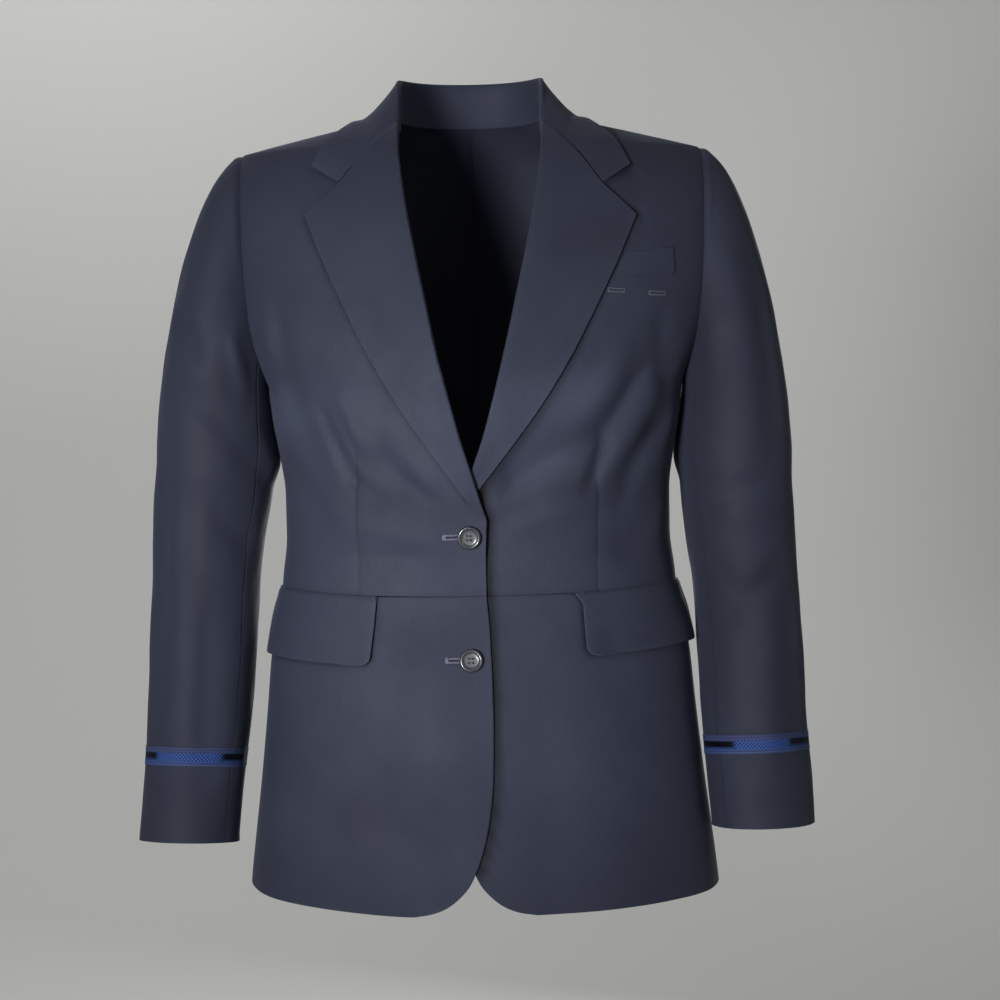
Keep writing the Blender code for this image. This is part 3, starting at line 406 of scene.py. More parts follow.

# A few small scuffs, with broad painted highlights and painted shade on the fronts and lapels: side, x, z, radius,
# brightening
SCUFFS_AND_PAINTED_LIGHT = (
    (-1, 0.0180, -0.3950, 0.0420, 0.22),
    (-1, 0.0240, -0.5100, 0.0500, 0.12),
    (-1, 0.0183, -0.3080, 0.0300, 0.28),
    (-1, 0.0259, -0.2650, 0.0300, 0.28),
    (-1, 0.1050, -0.2500, 0.0280, 0.14),
    (-1, 0.1720, -0.2615, 0.0320, 0.50),
    (-1, 0.1240, -0.1685, 0.0400, -0.13),
    (-1, 0.1620, -0.1430, 0.0350, -0.13),
    (-1, 0.0986, -0.3250, 0.0250, -0.18),
    (-1, 0.0665, -0.3360, 0.0180, -0.20),
    (-1, 0.0699, -0.3050, 0.0120, 0.18),
    (-1, 0.0276, -0.3460, 0.0140, -0.16),
    (-1, 0.1113, -0.5996, 0.0500, -0.18),
    (-1, 0.1697, -0.6080, 0.0400, 0.20),
    (-1, 0.0268, -0.6480, 0.0450, 0.18),
    (-1, 0.0430, -0.6120, 0.0050, 0.14),
    (-1, 0.0360, -0.6060, 0.0030, 0.10),
    (-1, 0.0900, -0.5600, 0.0200, 0.03),
    (1, 0.0500, -0.3900, 0.0400, 0.10),
    (1, 0.0873, -0.2530, 0.0340, 0.42),
    (1, 0.0493, -0.3054, 0.0300, 0.42),
    (1, 0.1194, -0.2400, 0.0220, 0.26),
    (1, 0.0282, -0.2600, 0.0420, 0.26),
    (1, 0.0915, -0.3290, 0.0260, -0.30),
    (1, 0.1127, -0.3798, 0.0250, -0.22),
    (1, 0.1040, -0.1178, 0.0350, -0.18),
    (1, 0.1465, -0.0417, 0.0420, -0.22),
    (1, 0.0366, -0.5740, 0.0700, 0.14),
    (1, 0.1000, -0.5827, 0.0500, 0.12),
    (1, 0.1700, -0.1790, 0.0030, 0.16),
)
LINT = ((-1, 0.0040, -0.3905, 0.0016, 0.4), (1, 0.1700, -0.1845, 0.0015, 1.3))

# Colours
# Painted shade: sleeves and lapels darker all over, the fronts darker towards the shoulders
SLEEVE_PAINTED_SHADE = 0.89
LAPEL_PAINTED_SHADE = 0.93
SHOULDER_PAINTED_SHADE = 0.10
CLOTH_COLOUR = (0.0215, 0.0249, 0.0415)
CLOTH_LIGHT = (0.0290, 0.0334, 0.0538)
CLOTH_SHEEN = (0.55, 0.60, 0.85)
THREAD_DARK = (0.020, 0.022, 0.036)
THREAD_LILAC = (0.105, 0.102, 0.165)
THREAD_PALE = (0.060, 0.065, 0.090)
BUTTON_COLOUR = (0.040, 0.046, 0.048)
BUTTON_RIM_COLOUR = (0.012, 0.014, 0.019)
BUTTON_FACE = 0.0071


def lerp(a, b, t):
    return a + (b - a) * t


def smooth(t):
    t = np.clip(t, 0.0, 1.0)
    return t * t * (3.0 - 2.0 * t)


def look_up(table, column, key):
    # A smooth curve through the table's rows without overshoot, its first column as the key
    keys = np.array([row[0] for row in table])
    values = np.array([row[column] for row in table])
    key = np.asarray(key, dtype=float)
    if keys[0] > keys[-1]:
        keys = -keys
        key = -key
    chords = np.diff(values) / np.diff(keys)
    slopes = np.empty_like(values)
    slopes[0] = chords[0]
    slopes[-1] = chords[-1]
    before = chords[:-1]
    after = chords[1:]
    same = before * after > 0.0
    total = np.where(same, before + after, 1.0)
    slopes[1:-1] = np.where(same, 2.0 * before * after / total, 0.0)
    key = np.clip(key, keys[0], keys[-1])
    i = np.clip(np.searchsorted(keys, key, side="right") - 1, 0, len(keys) - 2)
    step = keys[i + 1] - keys[i]
    t = (key - keys[i]) / step
    result = values[i] * (2 * t ** 3 - 3 * t ** 2 + 1)
    result = result + slopes[i] * step * (t ** 3 - 2 * t ** 2 + t)
    result = result + values[i + 1] * (3 * t ** 2 - 2 * t ** 3)
    return result + slopes[i + 1] * step * (t ** 3 - t ** 2)


def corner_line(table, column, key):
    # Straight lines through the table's rows, so that corners stay sharp
    return np.interp(key, [row[0] for row in table], [row[column] for row in table])


def shoulder_z(x):
    along = np.clip((x - NECK_X) / (SHOULDER_X - NECK_X), 0.0, 1.0)
    return SHOULDER_Z * along ** SHOULDER_BEND


def shoulder_x(z):
    along = np.clip(z / SHOULDER_Z, 0.0, 1.0)
    return NECK_X + (SHOULDER_X - NECK_X) * along ** (1.0 / SHOULDER_BEND)


def armhole_y(z, front):
    middle = 0.5 * (SHOULDER_Z + UNDERARM_Z)
    half = 0.5 * (SHOULDER_Z - UNDERARM_Z)
    t = np.clip(np.abs(z - middle) / half, 0.0, 1.0)
    depth = np.where(front, ARMHOLE_FRONT, ARMHOLE_BACK)
    return depth * (1.0 - t ** ARMHOLE_OVAL) ** (1.0 / ARMHOLE_OVAL)


def torso_depth(z, front):
    return np.where(front, look_up(TORSO, 1, z), look_up(TORSO, 2, z))


def end_x(z):
    return np.where(z > SHOULDER_Z, shoulder_x(z), look_up(TORSO, 3, z))


def full_width(z, front):
    inside = (z < SHOULDER_Z) & (z > UNDERARM_Z)
    ratio = np.where(inside, armhole_y(z, front) / torso_depth(z, front), 0.0)
    return end_x(z) / (1.0 - ratio ** ROUNDNESS) ** (1.0 / ROUNDNESS)


def torso_y(x, z, front):
    ratio = np.clip(np.abs(x) / full_width(z, front), 0.0, 1.0)
    depth = torso_depth(z, front) * (1.0 - ratio ** ROUNDNESS) ** (1.0 / ROUNDNESS)
    return np.where(front, -depth, depth)


def oval_value(x, y, z):
    front = y < 0.0
    across = np.abs(x) / full_width(z, front)
    along = np.abs(y) / torso_depth(z, front)
    return (across ** ROUNDNESS + along ** ROUNDNESS) ** (1.0 / ROUNDNESS)


def unit(vectors):
    length = np.linalg.norm(vectors, axis=-1, keepdims=True)
    return vectors / np.maximum(length, 1e-12)


def torso_normal(points):
    step = 0.0008
    x, y, z = points[..., 0], points[..., 1], points[..., 2]
    across = oval_value(x + step, y, z) - oval_value(x - step, y, z)
    along = oval_value(x, y + step, z) - oval_value(x, y - step, z)
    along = np.where(np.abs(y) < step, 0.0, along)
    up = oval_value(x, y, z + step) - oval_value(x, y, z - step)
    return unit(np.stack((across, along, up), axis=-1))


def closing_x(z):
    return look_up(CLOSING, 1, z)


def fold_amount(x, z, start, end, half_width, skew=0.0):
    # 1 on the fold's line, falling softly to 0 at its sides and ends; skew sharpens one side
    line = (end[0] - start[0], end[1] - start[1])
    length = math.hypot(line[0], line[1])
    along = ((x - start[0]) * line[0] + (z - start[1]) * line[1]) / length ** 2
    aside = ((x - start[0]) * line[1] - (z - start[1]) * line[0]) / length
    bow = 0.10 * half_width * np.sin(along * 5.0 + start[0] * 90.0)
    aside = aside + bow
    width = half_width * (1.0 + skew * np.sign(aside) * 0.6) * lerp(0.8, 1.25, np.clip(along, 0.0, 1.0))
    taper = smooth((along + 0.12) / 0.35) * smooth((1.12 - along) / 0.45)
    return taper * np.exp(-(aside / width) ** 2)


def cloth_waves(a, b, seed):
    # Shallow unevenness of a pressed but worn cloth
    total = 0.00022 * np.sin(a * 71.0 + b * 23.0 + seed)
    total = total + 0.00018 * np.sin(a * 37.0 - b * 59.0 + seed * 2.3)
    total = total + 0.00012 * np.sin(a * 113.0 + b * 97.0 + seed * 0.7)
    return total + 0.00008 * np.sin(a * 193.0 - b * 151.0 + seed * 1.9)


def front_drape(side, x, z):
    total = cloth_waves(x, z, 1.3 if side > 0 else 4.1)
    for row in FRONT_CREASES:
        if row[0] == side:
            total = total + row[6] * fold_amount(x, z, (row[1], row[2]), (row[3], row[4]), row[5], row[7])
    low = smooth((WAIST_Z - 0.02 - z) / 0.24)
    for row in SKIRT_WAVES:
        if row[0] == side:
            total = total + row[3] * low * np.exp(-((x - row[1] - 0.02 * low) / row[2]) ** 2)
    calm = smooth((np.abs(x) - 0.012) / 0.02) * smooth((end_x(z) - x) / 0.016)
    return total * calm


def lap_lift(side, x, z):
    if side > 0:
        return np.zeros_like(x)
    across = 1.0 - smooth((x - 0.028) / 0.045)
    under_lapel = smooth((z + 0.400) / 0.030) * (1.0 - smooth((z + 0.275) / 0.040))
    return across * lerp(LAP_LIFT, LAP_LIFT_UNDER_LAPEL, under_lapel)


def dart_reach(side, z):
    top = DART_TOP_LEFT if side > 0 else DART_TOP_RIGHT
    return smooth((top - z) / 0.02)


def seam_dip(side, x, z):
    # The cloth sinks a little along the dart
    near = np.exp(-((x - DART_X) / 0.0011) ** 2)
    wide = np.exp(-((x - DART_X) / 0.0060) ** 2)
    reach = dart_reach(side, z) * smooth((z - DART_FOOT_Z + 0.006) / 0.006)
    return (-0.00045 * near - 0.0007 * wide) * reach


def front_surface(side, x, z, out=0.0):
    # Points on or above one front; x runs outwards from the middle on its own side
    x = np.asarray(x, dtype=float)
    z = np.asarray(z, dtype=float)
    front = np.ones_like(x, dtype=bool)
    base = np.stack((x, torso_y(x, z, front), z), axis=-1)
    normal = torso_normal(base)
    off = out + lap_lift(side, x, z) + front_drape(side, x, z) + seam_dip(side, x, z)
    points = base + normal * off[..., None]
    turn = np.array((side, 1.0, 1.0))
    return points * turn, normal * turn


def border_x(side, z):
    border = side * closing_x(z) + look_up(FRONT_BORDER, 1, z)
    if side < 0:
        border = border - look_up(OVERLAP, 1, z)
    return border


def grid_normals(points, ring=False):
    down = np.gradient(points, axis=0)
    if ring:
        across = np.roll(points, -1, axis=1) - np.roll(points, 1, axis=1)
    else:
        across = np.gradient(points, axis=1)
    return unit(np.cross(across, down))


def waist_z(x):
    return WAIST_Z + WAIST_RISE * (x / 0.176) ** 2


def edge_steps(count, first=0.0012, total=0.2):
    # Even shares with two close ones at each end, so that the cloth rolls off at its edge
    close = first / total
    inner = np.linspace(close * 2.2, 1.0 - close * 2.2, count - 4)
    return np.concatenate(((0.0, close), inner, (1.0 - close, 1.0)))


def wall_piece(name, points, normals, material, thickness=WALL, ring=False, tone=None, uv=None, rim=RIM_ROUND):
    # A closed thin wall on a grid of outer points, with rounded rims, as one object
    rows, columns = points.shape[:2]
    outer = points.copy()
    inner = points - normals * thickness
    index = np.arange(rows * columns).reshape(rows, columns)
    if ring:
        loops = [index[0], index[-1]]
        insides = [index[1], index[-2]]
    else:
        loop = np.concatenate((index[0], index[1:, -1], index[-1, -2::-1], index[-2:0:-1, 0]))
        near = np.concatenate((index[1], index[1:, -2], index[-2, -2::-1], index[-2:0:-1, 1]))
        near[0] = index[1, 1]
        near[columns - 1] = index[1, -2]
        near[columns + rows - 2] = index[-2, -2]
        near[2 * columns + rows - 3] = index[-2, 1]
        loops = [loop]
        insides = [near]
    flat_outer = outer.reshape(-1, 3)
    flat_inner = inner.reshape(-1, 3)
    flat_normal = normals.reshape(-1, 3)
    extra = []
    rim_rings = []
    count = 2 * rows * columns
    angles = (math.radians(30), math.radians(90), math.radians(150))
    for loop, near in zip(loops, insides):
        border = flat_outer[loop].copy()
        normal = flat_normal[loop]
        away = border - flat_outer[near]
        away = away - normal * np.sum(away * normal, axis=1, keepdims=True)
        reach = np.linalg.norm(away, axis=1, keepdims=True)
        away = away / np.maximum(reach, 1e-9)
        inset = np.minimum(rim, reach * 0.4)
        middle = border - normal * (0.5 * thickness) - away * inset
        flat_outer[loop] = border - away * inset
        flat_inner[loop] = flat_outer[loop] - normal * thickness
        rings = [loop]
        for angle in angles:
            ring_points = middle + away * inset * math.sin(angle) + normal * 0.5 * thickness * math.cos(angle)
            extra.append(ring_points)
            rings.append(np.arange(count, count + len(loop)))
            count += len(loop)
        rings.append(loop + rows * columns)
        rim_rings.append(rings)
    everything = np.concatenate([flat_outer, flat_inner] + extra)
    spans = columns if ring else columns - 1
    a = index[:-1, :spans].ravel()
    b = np.roll(index, -1, axis=1)[:-1, :spans].ravel()
    c = np.roll(index, -1, axis=1)[1:, :spans].ravel()
    d = index[1:, :spans].ravel()
    under = rows * columns
    faces = [np.stack((a, b, c, d), axis=1), np.stack((a + under, d + under, c + under, b + under), axis=1)]
    for rings in rim_rings:
        for upper, lower in zip(rings, rings[1:]):
            faces.append(np.stack((upper, lower, np.roll(lower, -1), np.roll(upper, -1)), axis=1))
    faces = np.concatenate(faces)
    mesh = bpy.data.meshes.new(name)
    mesh.from_pydata(everything.tolist(), [], faces.tolist())
    if uv is None:
        across = np.linalg.norm(np.diff(points, axis=1), axis=2)
        u = np.concatenate((np.zeros((rows, 1)), np.cumsum(across, axis=1)), axis=1)
        uv = np.stack((u, points[..., 2]), axis=-1)
    flat_uv = uv.reshape(-1, 2)
    all_uv = [flat_uv, flat_uv]
    shade = np.ones((rows, columns)) if tone is None else tone
    all_tone = [shade.ravel(), shade.ravel() * 0.9]
    for rings in rim_rings:
        for _ in angles:
            all_uv.append(flat_uv[rings[0]])
            all_tone.append(shade.ravel()[rings[0]])
    all_uv = np.concatenate(all_uv)
    all_tone = np.concatenate(all_tone)
    layer = mesh.uv_layers.new(name="cloth")
    corners = np.empty(len(mesh.loops), dtype=np.int32)
    mesh.loops.foreach_get("vertex_index", corners)
    layer.data.foreach_set("uv", all_uv[corners].astype(np.float32).ravel())
    attribute = mesh.attributes.new("tone", "FLOAT", "POINT")
    attribute.data.foreach_set("value", all_tone.astype(np.float32))
    shape = bmesh.new()
    shape.from_mesh(mesh)
    bmesh.ops.recalc_face_normals(shape, faces=shape.faces[:])
    shape.to_mesh(mesh)
    shape.free()
    mesh.shade_smooth()
    mesh.materials.append(material)
    thing = bpy.data.objects.new(name, mesh)
    bpy.context.scene.collection.objects.link(thing)
    return thing


def place_cloth(thing, node):
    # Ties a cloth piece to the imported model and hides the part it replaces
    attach(thing, "root")
    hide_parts(node)


# Materials


def new_material(name):
    material = bpy.data.materials.new(name)
    material.use_nodes = True
    nodes = material.node_tree.nodes
    return material, nodes, material.node_tree.links, nodes["Principled BSDF"]


def add_math(nodes, links, kind, first, second=None):
    node = nodes.new("ShaderNodeMath")
    node.operation = kind
    for socket, value in zip(node.inputs, (first, second)):
        if value is None:
            continue
        if isinstance(value, (int, float)):
            socket.default_value = value
        else:
            links.new(value, socket)
    return node.outputs[0]


def cloth_material(name, seed=0.0):
    # Smooth worsted: fine twill, faint mottling and a soft bluish sheen; each piece's tone attribute adds painted
    # highlights on pressed edges and painted shade
    material, nodes, links, shader = new_material(name)
    shader.inputs["Specular IOR Level"].default_value = 0.16
    shader.inputs["Sheen Weight"].default_value = 0.09
    shader.inputs["Sheen Roughness"].default_value = 0.45
    shader.inputs["Sheen Tint"].default_value = CLOTH_SHEEN + (1.0,)
    place = nodes.new("ShaderNodeTexCoord")
    uv = nodes.new("ShaderNodeUVMap")
    uv.uv_map = "cloth"
    patches = nodes.new("ShaderNodeTexNoise")
    patches.inputs["Scale"].default_value = 16.0
    patches.inputs["Detail"].default_value = 4.0
    patches.inputs["Roughness"].default_value = 0.6
    links.new(place.outputs["Object"], patches.inputs["Vector"])
    fibres = nodes.new("ShaderNodeTexNoise")
    fibres.inputs["Scale"].default_value = 520.0
    fibres.inputs["Detail"].default_value = 3.0
    fibres.inputs["Roughness"].default_value = 0.7
    links.new(place.outputs["Object"], fibres.inputs["Vector"])
    stretch = nodes.new("ShaderNodeMapping")
    stretch.inputs["Scale"].default_value = (1100.0, 70.0, 1.0)
    links.new(uv.outputs["UV"], stretch.inputs["Vector"])
    streaks = nodes.new("ShaderNodeTexNoise")
    streaks.inputs["Scale"].default_value = 1.0
    streaks.inputs["Detail"].default_value = 2.0
    links.new(stretch.outputs["Vector"], streaks.inputs["Vector"])
    blend = add_math(nodes, links, "MULTIPLY", patches.outputs["Fac"], 0.24)
    blend = add_math(nodes, links, "ADD", blend, 0.13)
    blend = add_math(nodes, links, "ADD", blend, add_math(nodes, links, "MULTIPLY", fibres.outputs["Fac"], 0.25))
    blend = add_math(nodes, links, "ADD", blend, add_math(nodes, links, "MULTIPLY", streaks.outputs["Fac"], 0.25))
    ramp = nodes.new("ShaderNodeValToRGB")
    ramp.color_ramp.elements[0].position = 0.30
    ramp.color_ramp.elements[0].color = tuple(v * 0.84 for v in CLOTH_COLOUR) + (1.0,)
    ramp.color_ramp.elements[1].position = 0.72
    ramp.color_ramp.elements[1].color = CLOTH_LIGHT + (1.0,)
    links.new(blend, ramp.inputs["Fac"])
    tone = nodes.new("ShaderNodeAttribute")
    tone.attribute_name = "tone"
    colour = nodes.new("ShaderNodeVectorMath")
    colour.operation = "SCALE"
    links.new(ramp.outputs["Color"], colour.inputs[0])
    links.new(tone.outputs["Fac"], colour.inputs["Scale"])
    links.new(colour.outputs["Vector"], shader.inputs["Base Color"])
    # Twill: fine diagonal cords, two per millimetre, broken by the fibres
    twill = nodes.new("ShaderNodeTexWave")
    twill.wave_type = "BANDS"
    twill.bands_direction = "DIAGONAL"
    twill.inputs["Scale"].default_value = 260.0
    twill.inputs["Distortion"].default_value = 1.2
    twill.inputs["Detail"].default_value = 1.0
    twill.inputs["Detail Scale"].default_value = 2.0
    links.new(uv.outputs["UV"], twill.inputs["Vector"])
    height = add_math(nodes, links, "MULTIPLY", twill.outputs["Fac"], 0.5)
    height = add_math(nodes, links, "ADD", height, fibres.outputs["Fac"])
    bump = nodes.new("ShaderNodeBump")
    bump.inputs["Strength"].default_value = 0.25
    bump.inputs["Distance"].default_value = 0.00012
    links.new(height, bump.inputs["Height"])
    links.new(bump.outputs["Normal"], shader.inputs["Normal"])
    rough = nodes.new("ShaderNodeMapRange")
    rough.inputs["From Min"].default_value = 0.3
    rough.inputs["From Max"].default_value = 0.7
    rough.inputs["To Min"].default_value = 0.76
    rough.inputs["To Max"].default_value = 0.62
    links.new(patches.outputs["Fac"], rough.inputs["Value"])
    links.new(rough.outputs["Result"], shader.inputs["Roughness"])
    return material


def thread_material(name, colour, shine=0.15):
    material, nodes, links, shader = new_material(name)
    shader.inputs["Roughness"].default_value = 0.55
    shader.inputs["Sheen Weight"].default_value = shine
    place = nodes.new("ShaderNodeTexCoord")
    noise = nodes.new("ShaderNodeTexNoise")
    noise.inputs["Scale"].default_value = 900.0
    links.new(place.outputs["Object"], noise.inputs["Vector"])
    ramp = nodes.new("ShaderNodeValToRGB")
    ramp.color_ramp.elements[0].color = tuple(v * 0.7 for v in colour) + (1.0,)
    ramp.color_ramp.elements[1].color = tuple(min(1.0, v * 1.25) for v in colour) + (1.0,)
    links.new(noise.outputs["Fac"], ramp.inputs["Fac"])
    links.new(ramp.outputs["Color"], shader.inputs["Base Color"])
    return material


def braid_material(name):
    # Blue ribbed braid; u runs round the cuff in metres, v up the braid from 0 to 1
    material, nodes, links, shader = new_material(name)
    shader.inputs["Roughness"].default_value = 0.55
    shader.inputs["Specular IOR Level"].default_value = 0.12
    shader.inputs["Sheen Weight"].default_value = 0.03
    shader.inputs["Sheen Tint"].default_value = (0.45, 0.55, 1.0, 1.0)
    uv = nodes.new("ShaderNodeUVMap")
    uv.uv_map = "cloth"
    split = nodes.new("ShaderNodeSeparateXYZ")
    links.new(uv.outputs["UV"], split.inputs["Vector"])
    u = split.outputs["X"]
    v = split.outputs["Y"]
    bands = nodes.new("ShaderNodeValToRGB")
    bands.color_ramp.interpolation = "CONSTANT"
    elements = bands.color_ramp.elements
    elements[0].position = BRAID_STOPS[0][0]
    elements[0].color = BRAID_STOPS[0][1] + (1.0,)
    elements[1].position = BRAID_STOPS[1][0]
    elements[1].color = BRAID_STOPS[1][1] + (1.0,)
    for position, colour in BRAID_STOPS[2:]:
        element = elements.new(position)
        element.color = colour + (1.0,)
    links.new(v, bands.inputs["Fac"])
    # Basket weave of the centre stripe
    dots_u = add_math(nodes, links, "SINE", add_math(nodes, links, "MULTIPLY", u, 2.0 * math.pi / 0.0032))
    dots_v = add_math(nodes, links, "SINE", add_math(nodes, links, "MULTIPLY", v, 2.0 * math.pi / 0.180))
    dots = add_math(nodes, links, "MULTIPLY", dots_u, dots_v)
    weave = nodes.new("ShaderNodeMapRange")
    weave.inputs["From Min"].default_value = -0.15
    weave.inputs["From Max"].default_value = 0.45
    links.new(dots, weave.inputs["Value"])
    stripe = nodes.new("ShaderNodeMix")
    stripe.data_type = "RGBA"
    stripe.inputs[6].default_value = (0.006, 0.017, 0.085, 1.0)
    stripe.inputs[7].default_value = (0.046, 0.100, 0.300, 1.0)
    links.new(weave.outputs["Result"], stripe.inputs["Factor"])
    # Towards both ends, where it turns away from the light, the stripe is painted black: painted shade
    stripe_shade_attribute = nodes.new("ShaderNodeAttribute")
    stripe_shade_attribute.attribute_name = "tone"
    stripe_shaded = nodes.new("ShaderNodeMix")
    stripe_shaded.data_type = "RGBA"
    stripe_shaded.inputs[7].default_value = (0.0006, 0.0006, 0.0014, 1.0)
    links.new(stripe_shade_attribute.outputs["Fac"], stripe_shaded.inputs["Factor"])
    links.new(stripe.outputs[2], stripe_shaded.inputs[6])
    woven = add_math(nodes, links, "MULTIPLY",
                     add_math(nodes, links, "GREATER_THAN", v, WEAVE_LOW),
                     add_math(nodes, links, "LESS_THAN", v, WEAVE_HIGH))
    narrow = add_math(nodes, links, "MULTIPLY",
                      add_math(nodes, links, "GREATER_THAN", v, STRIPE_LOW),
                      add_math(nodes, links, "LESS_THAN", v, STRIPE_HIGH))
    change = add_math(nodes, links, "MULTIPLY", stripe_shade_attribute.outputs["Fac"], add_math(nodes, links, "SUBTRACT", narrow, woven))
    inside = add_math(nodes, links, "ADD", woven, change)
    final = nodes.new("ShaderNodeMix")
    final.data_type = "RGBA"
    links.new(inside, final.inputs["Factor"])
    links.new(bands.outputs["Color"], final.inputs[6])
    links.new(stripe_shaded.outputs[2], final.inputs[7])
    links.new(final.outputs[2], shader.inputs["Base Color"])
    # Ribs across the braid's height, threads round it
    ribs = add_math(nodes, links, "SINE", add_math(nodes, links, "MULTIPLY", v, 2.0 * math.pi / 0.068))
    threads = add_math(nodes, links, "SINE", add_math(nodes, links, "MULTIPLY", u, 2.0 * math.pi / 0.0008))
    height = add_math(nodes, links, "ADD", ribs, add_math(nodes, links, "MULTIPLY", threads, 0.5))
    bump = nodes.new("ShaderNodeBump")
    bump.inputs["Strength"].default_value = 0.5
    bump.inputs["Distance"].default_value = 0.00015
    links.new(height, bump.inputs["Height"])
    links.new(bump.outputs["Normal"], shader.inputs["Normal"])
    return material


def button_material(name, colour):
    # Dark moulded resin with a brushed face and a glossy rim
    material, nodes, links, shader = new_material(name)
    shader.inputs["Specular IOR Level"].default_value = 0.6
    shader.inputs["Coat Weight"].default_value = 0.5
    shader.inputs["Coat Roughness"].default_value = 0.12
    place = nodes.new("ShaderNodeTexCoord")
    noise = nodes.new("ShaderNodeTexNoise")
    noise.inputs["Scale"].default_value = 600.0
    noise.inputs["Detail"].default_value = 5.0
    links.new(place.outputs["Object"], noise.inputs["Vector"])
    ramp = nodes.new("ShaderNodeValToRGB")
    ramp.color_ramp.elements[0].position = 0.3
    ramp.color_ramp.elements[0].color = tuple(v * 0.75 for v in colour) + (1.0,)
    ramp.color_ramp.elements[1].position = 0.7
    ramp.color_ramp.elements[1].color = tuple(v * 1.3 for v in colour) + (1.0,)
    links.new(noise.outputs["Fac"], ramp.inputs["Fac"])
    links.new(ramp.outputs["Color"], shader.inputs["Base Color"])
    rough = nodes.new("ShaderNodeMapRange")
    rough.inputs["To Min"].default_value = 0.28
    rough.inputs["To Max"].default_value = 0.5
    links.new(noise.outputs["Fac"], rough.inputs["Value"])
    links.new(rough.outputs["Result"], shader.inputs["Roughness"])
    bump = nodes.new("ShaderNodeBump")
    bump.inputs["Strength"].default_value = 0.15
    bump.inputs["Distance"].default_value = 0.0001
    links.new(noise.outputs["Fac"], bump.inputs["Height"])
    links.new(bump.outputs["Normal"], shader.inputs["Normal"])
    return material


def stage_material(name, colour):
    material, nodes, links, shader = new_material(name)
    shader.inputs["Base Color"].default_value = colour + (1.0,)
    shader.inputs["Roughness"].default_value = 0.9
    shader.inputs["Specular IOR Level"].default_value = 0.1
    return material


# Armhole and sleeves; an angle of 0 is the shoulder tip, pi the underarm, negative down the front


def armhole_point(angle):
    middle = 0.5 * (SHOULDER_Z + UNDERARM_Z)
    half = 0.5 * (SHOULDER_Z - UNDERARM_Z)
    z = middle + half * np.cos(angle)
    front = np.sin(angle) < 0.0
    y = armhole_y(z, front)
    return np.stack((end_x(z), np.where(front, -y, y), z), axis=-1)


def cap_direction(angle):
    high = 0.5 * (1.0 + np.cos(angle))
    away = np.stack((0.15 + (CAP_OUT - 0.15) * high, 0.35 * np.sin(angle), 0.75 * high - 1.0), axis=-1)
    return unit(away)


def armhole_frame(angle):
    step = 0.05
    along = armhole_point(angle + step) - armhole_point(angle - step)
    end = np.abs(np.abs(angle) - math.pi) < 0.08
    along = np.where(end[..., None], np.array((0.0, -1.0, 0.0)), along)
    along = unit(along)
    away = cap_direction(angle)
    sleeve = unit(np.cross(along, away))
    point = armhole_point(angle)
    centre = np.array((0.14, 0.0, 0.5 * (SHOULDER_Z + UNDERARM_Z)))
    wrong = np.sum(sleeve * (point - centre), axis=-1, keepdims=True) < 0.0
    sleeve = np.where(wrong, -sleeve, sleeve)
    shared = unit(sleeve + torso_normal(point) * 0.8)
    shared = unit(shared - along * np.sum(shared * along, axis=-1, keepdims=True))
    across = np.cross(along, shared)
    wrong = np.sum(across * away, axis=-1, keepdims=True) < 0.0
    return shared, np.where(wrong, -across, across)


def column_share(s, z, inner, outer, front, roundness):
    width = full_width(z, front)
    first = np.arcsin(np.clip(np.abs(inner) / width, 0.0, 1.0) ** (ROUNDNESS / 2.0)) * np.sign(inner)
    last = np.arcsin(np.clip(outer / width, 0.0, 1.0) ** (ROUNDNESS / 2.0))
    sine = np.sin(lerp(first, last, s))
    x = width * np.sign(sine) * np.abs(sine) ** (2.0 / ROUNDNESS)
    even = (x - inner) / np.maximum(outer - inner, 1e-6)
    return lerp(s, even, roundness)


def row_fractions(bottom_z, arm_rows, lower_rows):
    angles = np.linspace(0.0, math.pi, arm_rows + 1)
    total = SHOULDER_Z - bottom_z
    upper = (SHOULDER_Z - armhole_point(angles)[:, 2]) / total
    ends = edge_steps(lower_rows, 0.0012, 0.18)[1:]
    lower = lerp(upper[-1], 1.0, ends)
    return np.concatenate((upper, lower)), angles


def edge_tone(rows, columns, points, sides, amount=0.10, reach=0.004):
    # Brightens or darkens along chosen borders: sides is a dictionary of border name and sign
    tone = np.ones((rows, columns))
    across = np.linalg.norm(np.diff(points, axis=1), axis=2)
    u = np.concatenate((np.zeros((rows, 1)), np.cumsum(across, axis=1)), axis=1)
    down = np.linalg.norm(np.diff(points, axis=0), axis=2)
    v = np.concatenate((np.zeros((1, columns)), np.cumsum(down, axis=0)), axis=0)
    gaps = {"left": u, "right": u[:, -1:] - u, "top": v, "bottom": v[-1:] - v}
    for border, sign in sides.items():
        tone = tone + sign * amount * np.exp(-(gaps[border] / reach) ** 2)
    return tone


def dart_steps():
    # Columns of a front: close together at both ends and on the dart in the middle
    half = np.concatenate(((0.0, 0.012, 0.026), np.linspace(0.05, 0.93, 26), (0.955, 0.972, 0.984, 0.993)))
    other = 1.0 - half[::-1]
    other = np.concatenate(((0.0,), other))
    return np.concatenate((0.5 * half, 0.5 + 0.5 * other))


def lapel_painted_shadow(side, x, z):
    # Painted shadow on the front beside the lapel's edge, where it goes under the lapel
    z_row = np.clip(z, LAPEL_FOOT_Z - 0.003, LAPEL_EDGE[0][0])
    edge = side * closing_x(z_row) + look_up(LAPEL_EDGE, 1, z_row)
    away = x - edge
    reach = smooth((z - LAPEL_FOOT_Z + 0.004) / 0.02) * smooth((LAPEL_EDGE[0][0] + 0.004 - z) / 0.006)
    if side < 0:
        return 0.58 * reach * np.where(away > 0.0, np.exp(-away / 0.0022), 1.0)
    width = corner_line(LAPEL_SHADES, 1, -z)
    return corner_line(LAPEL_SHADES, 2, -z) * reach * (1.0 - smooth(away / width))


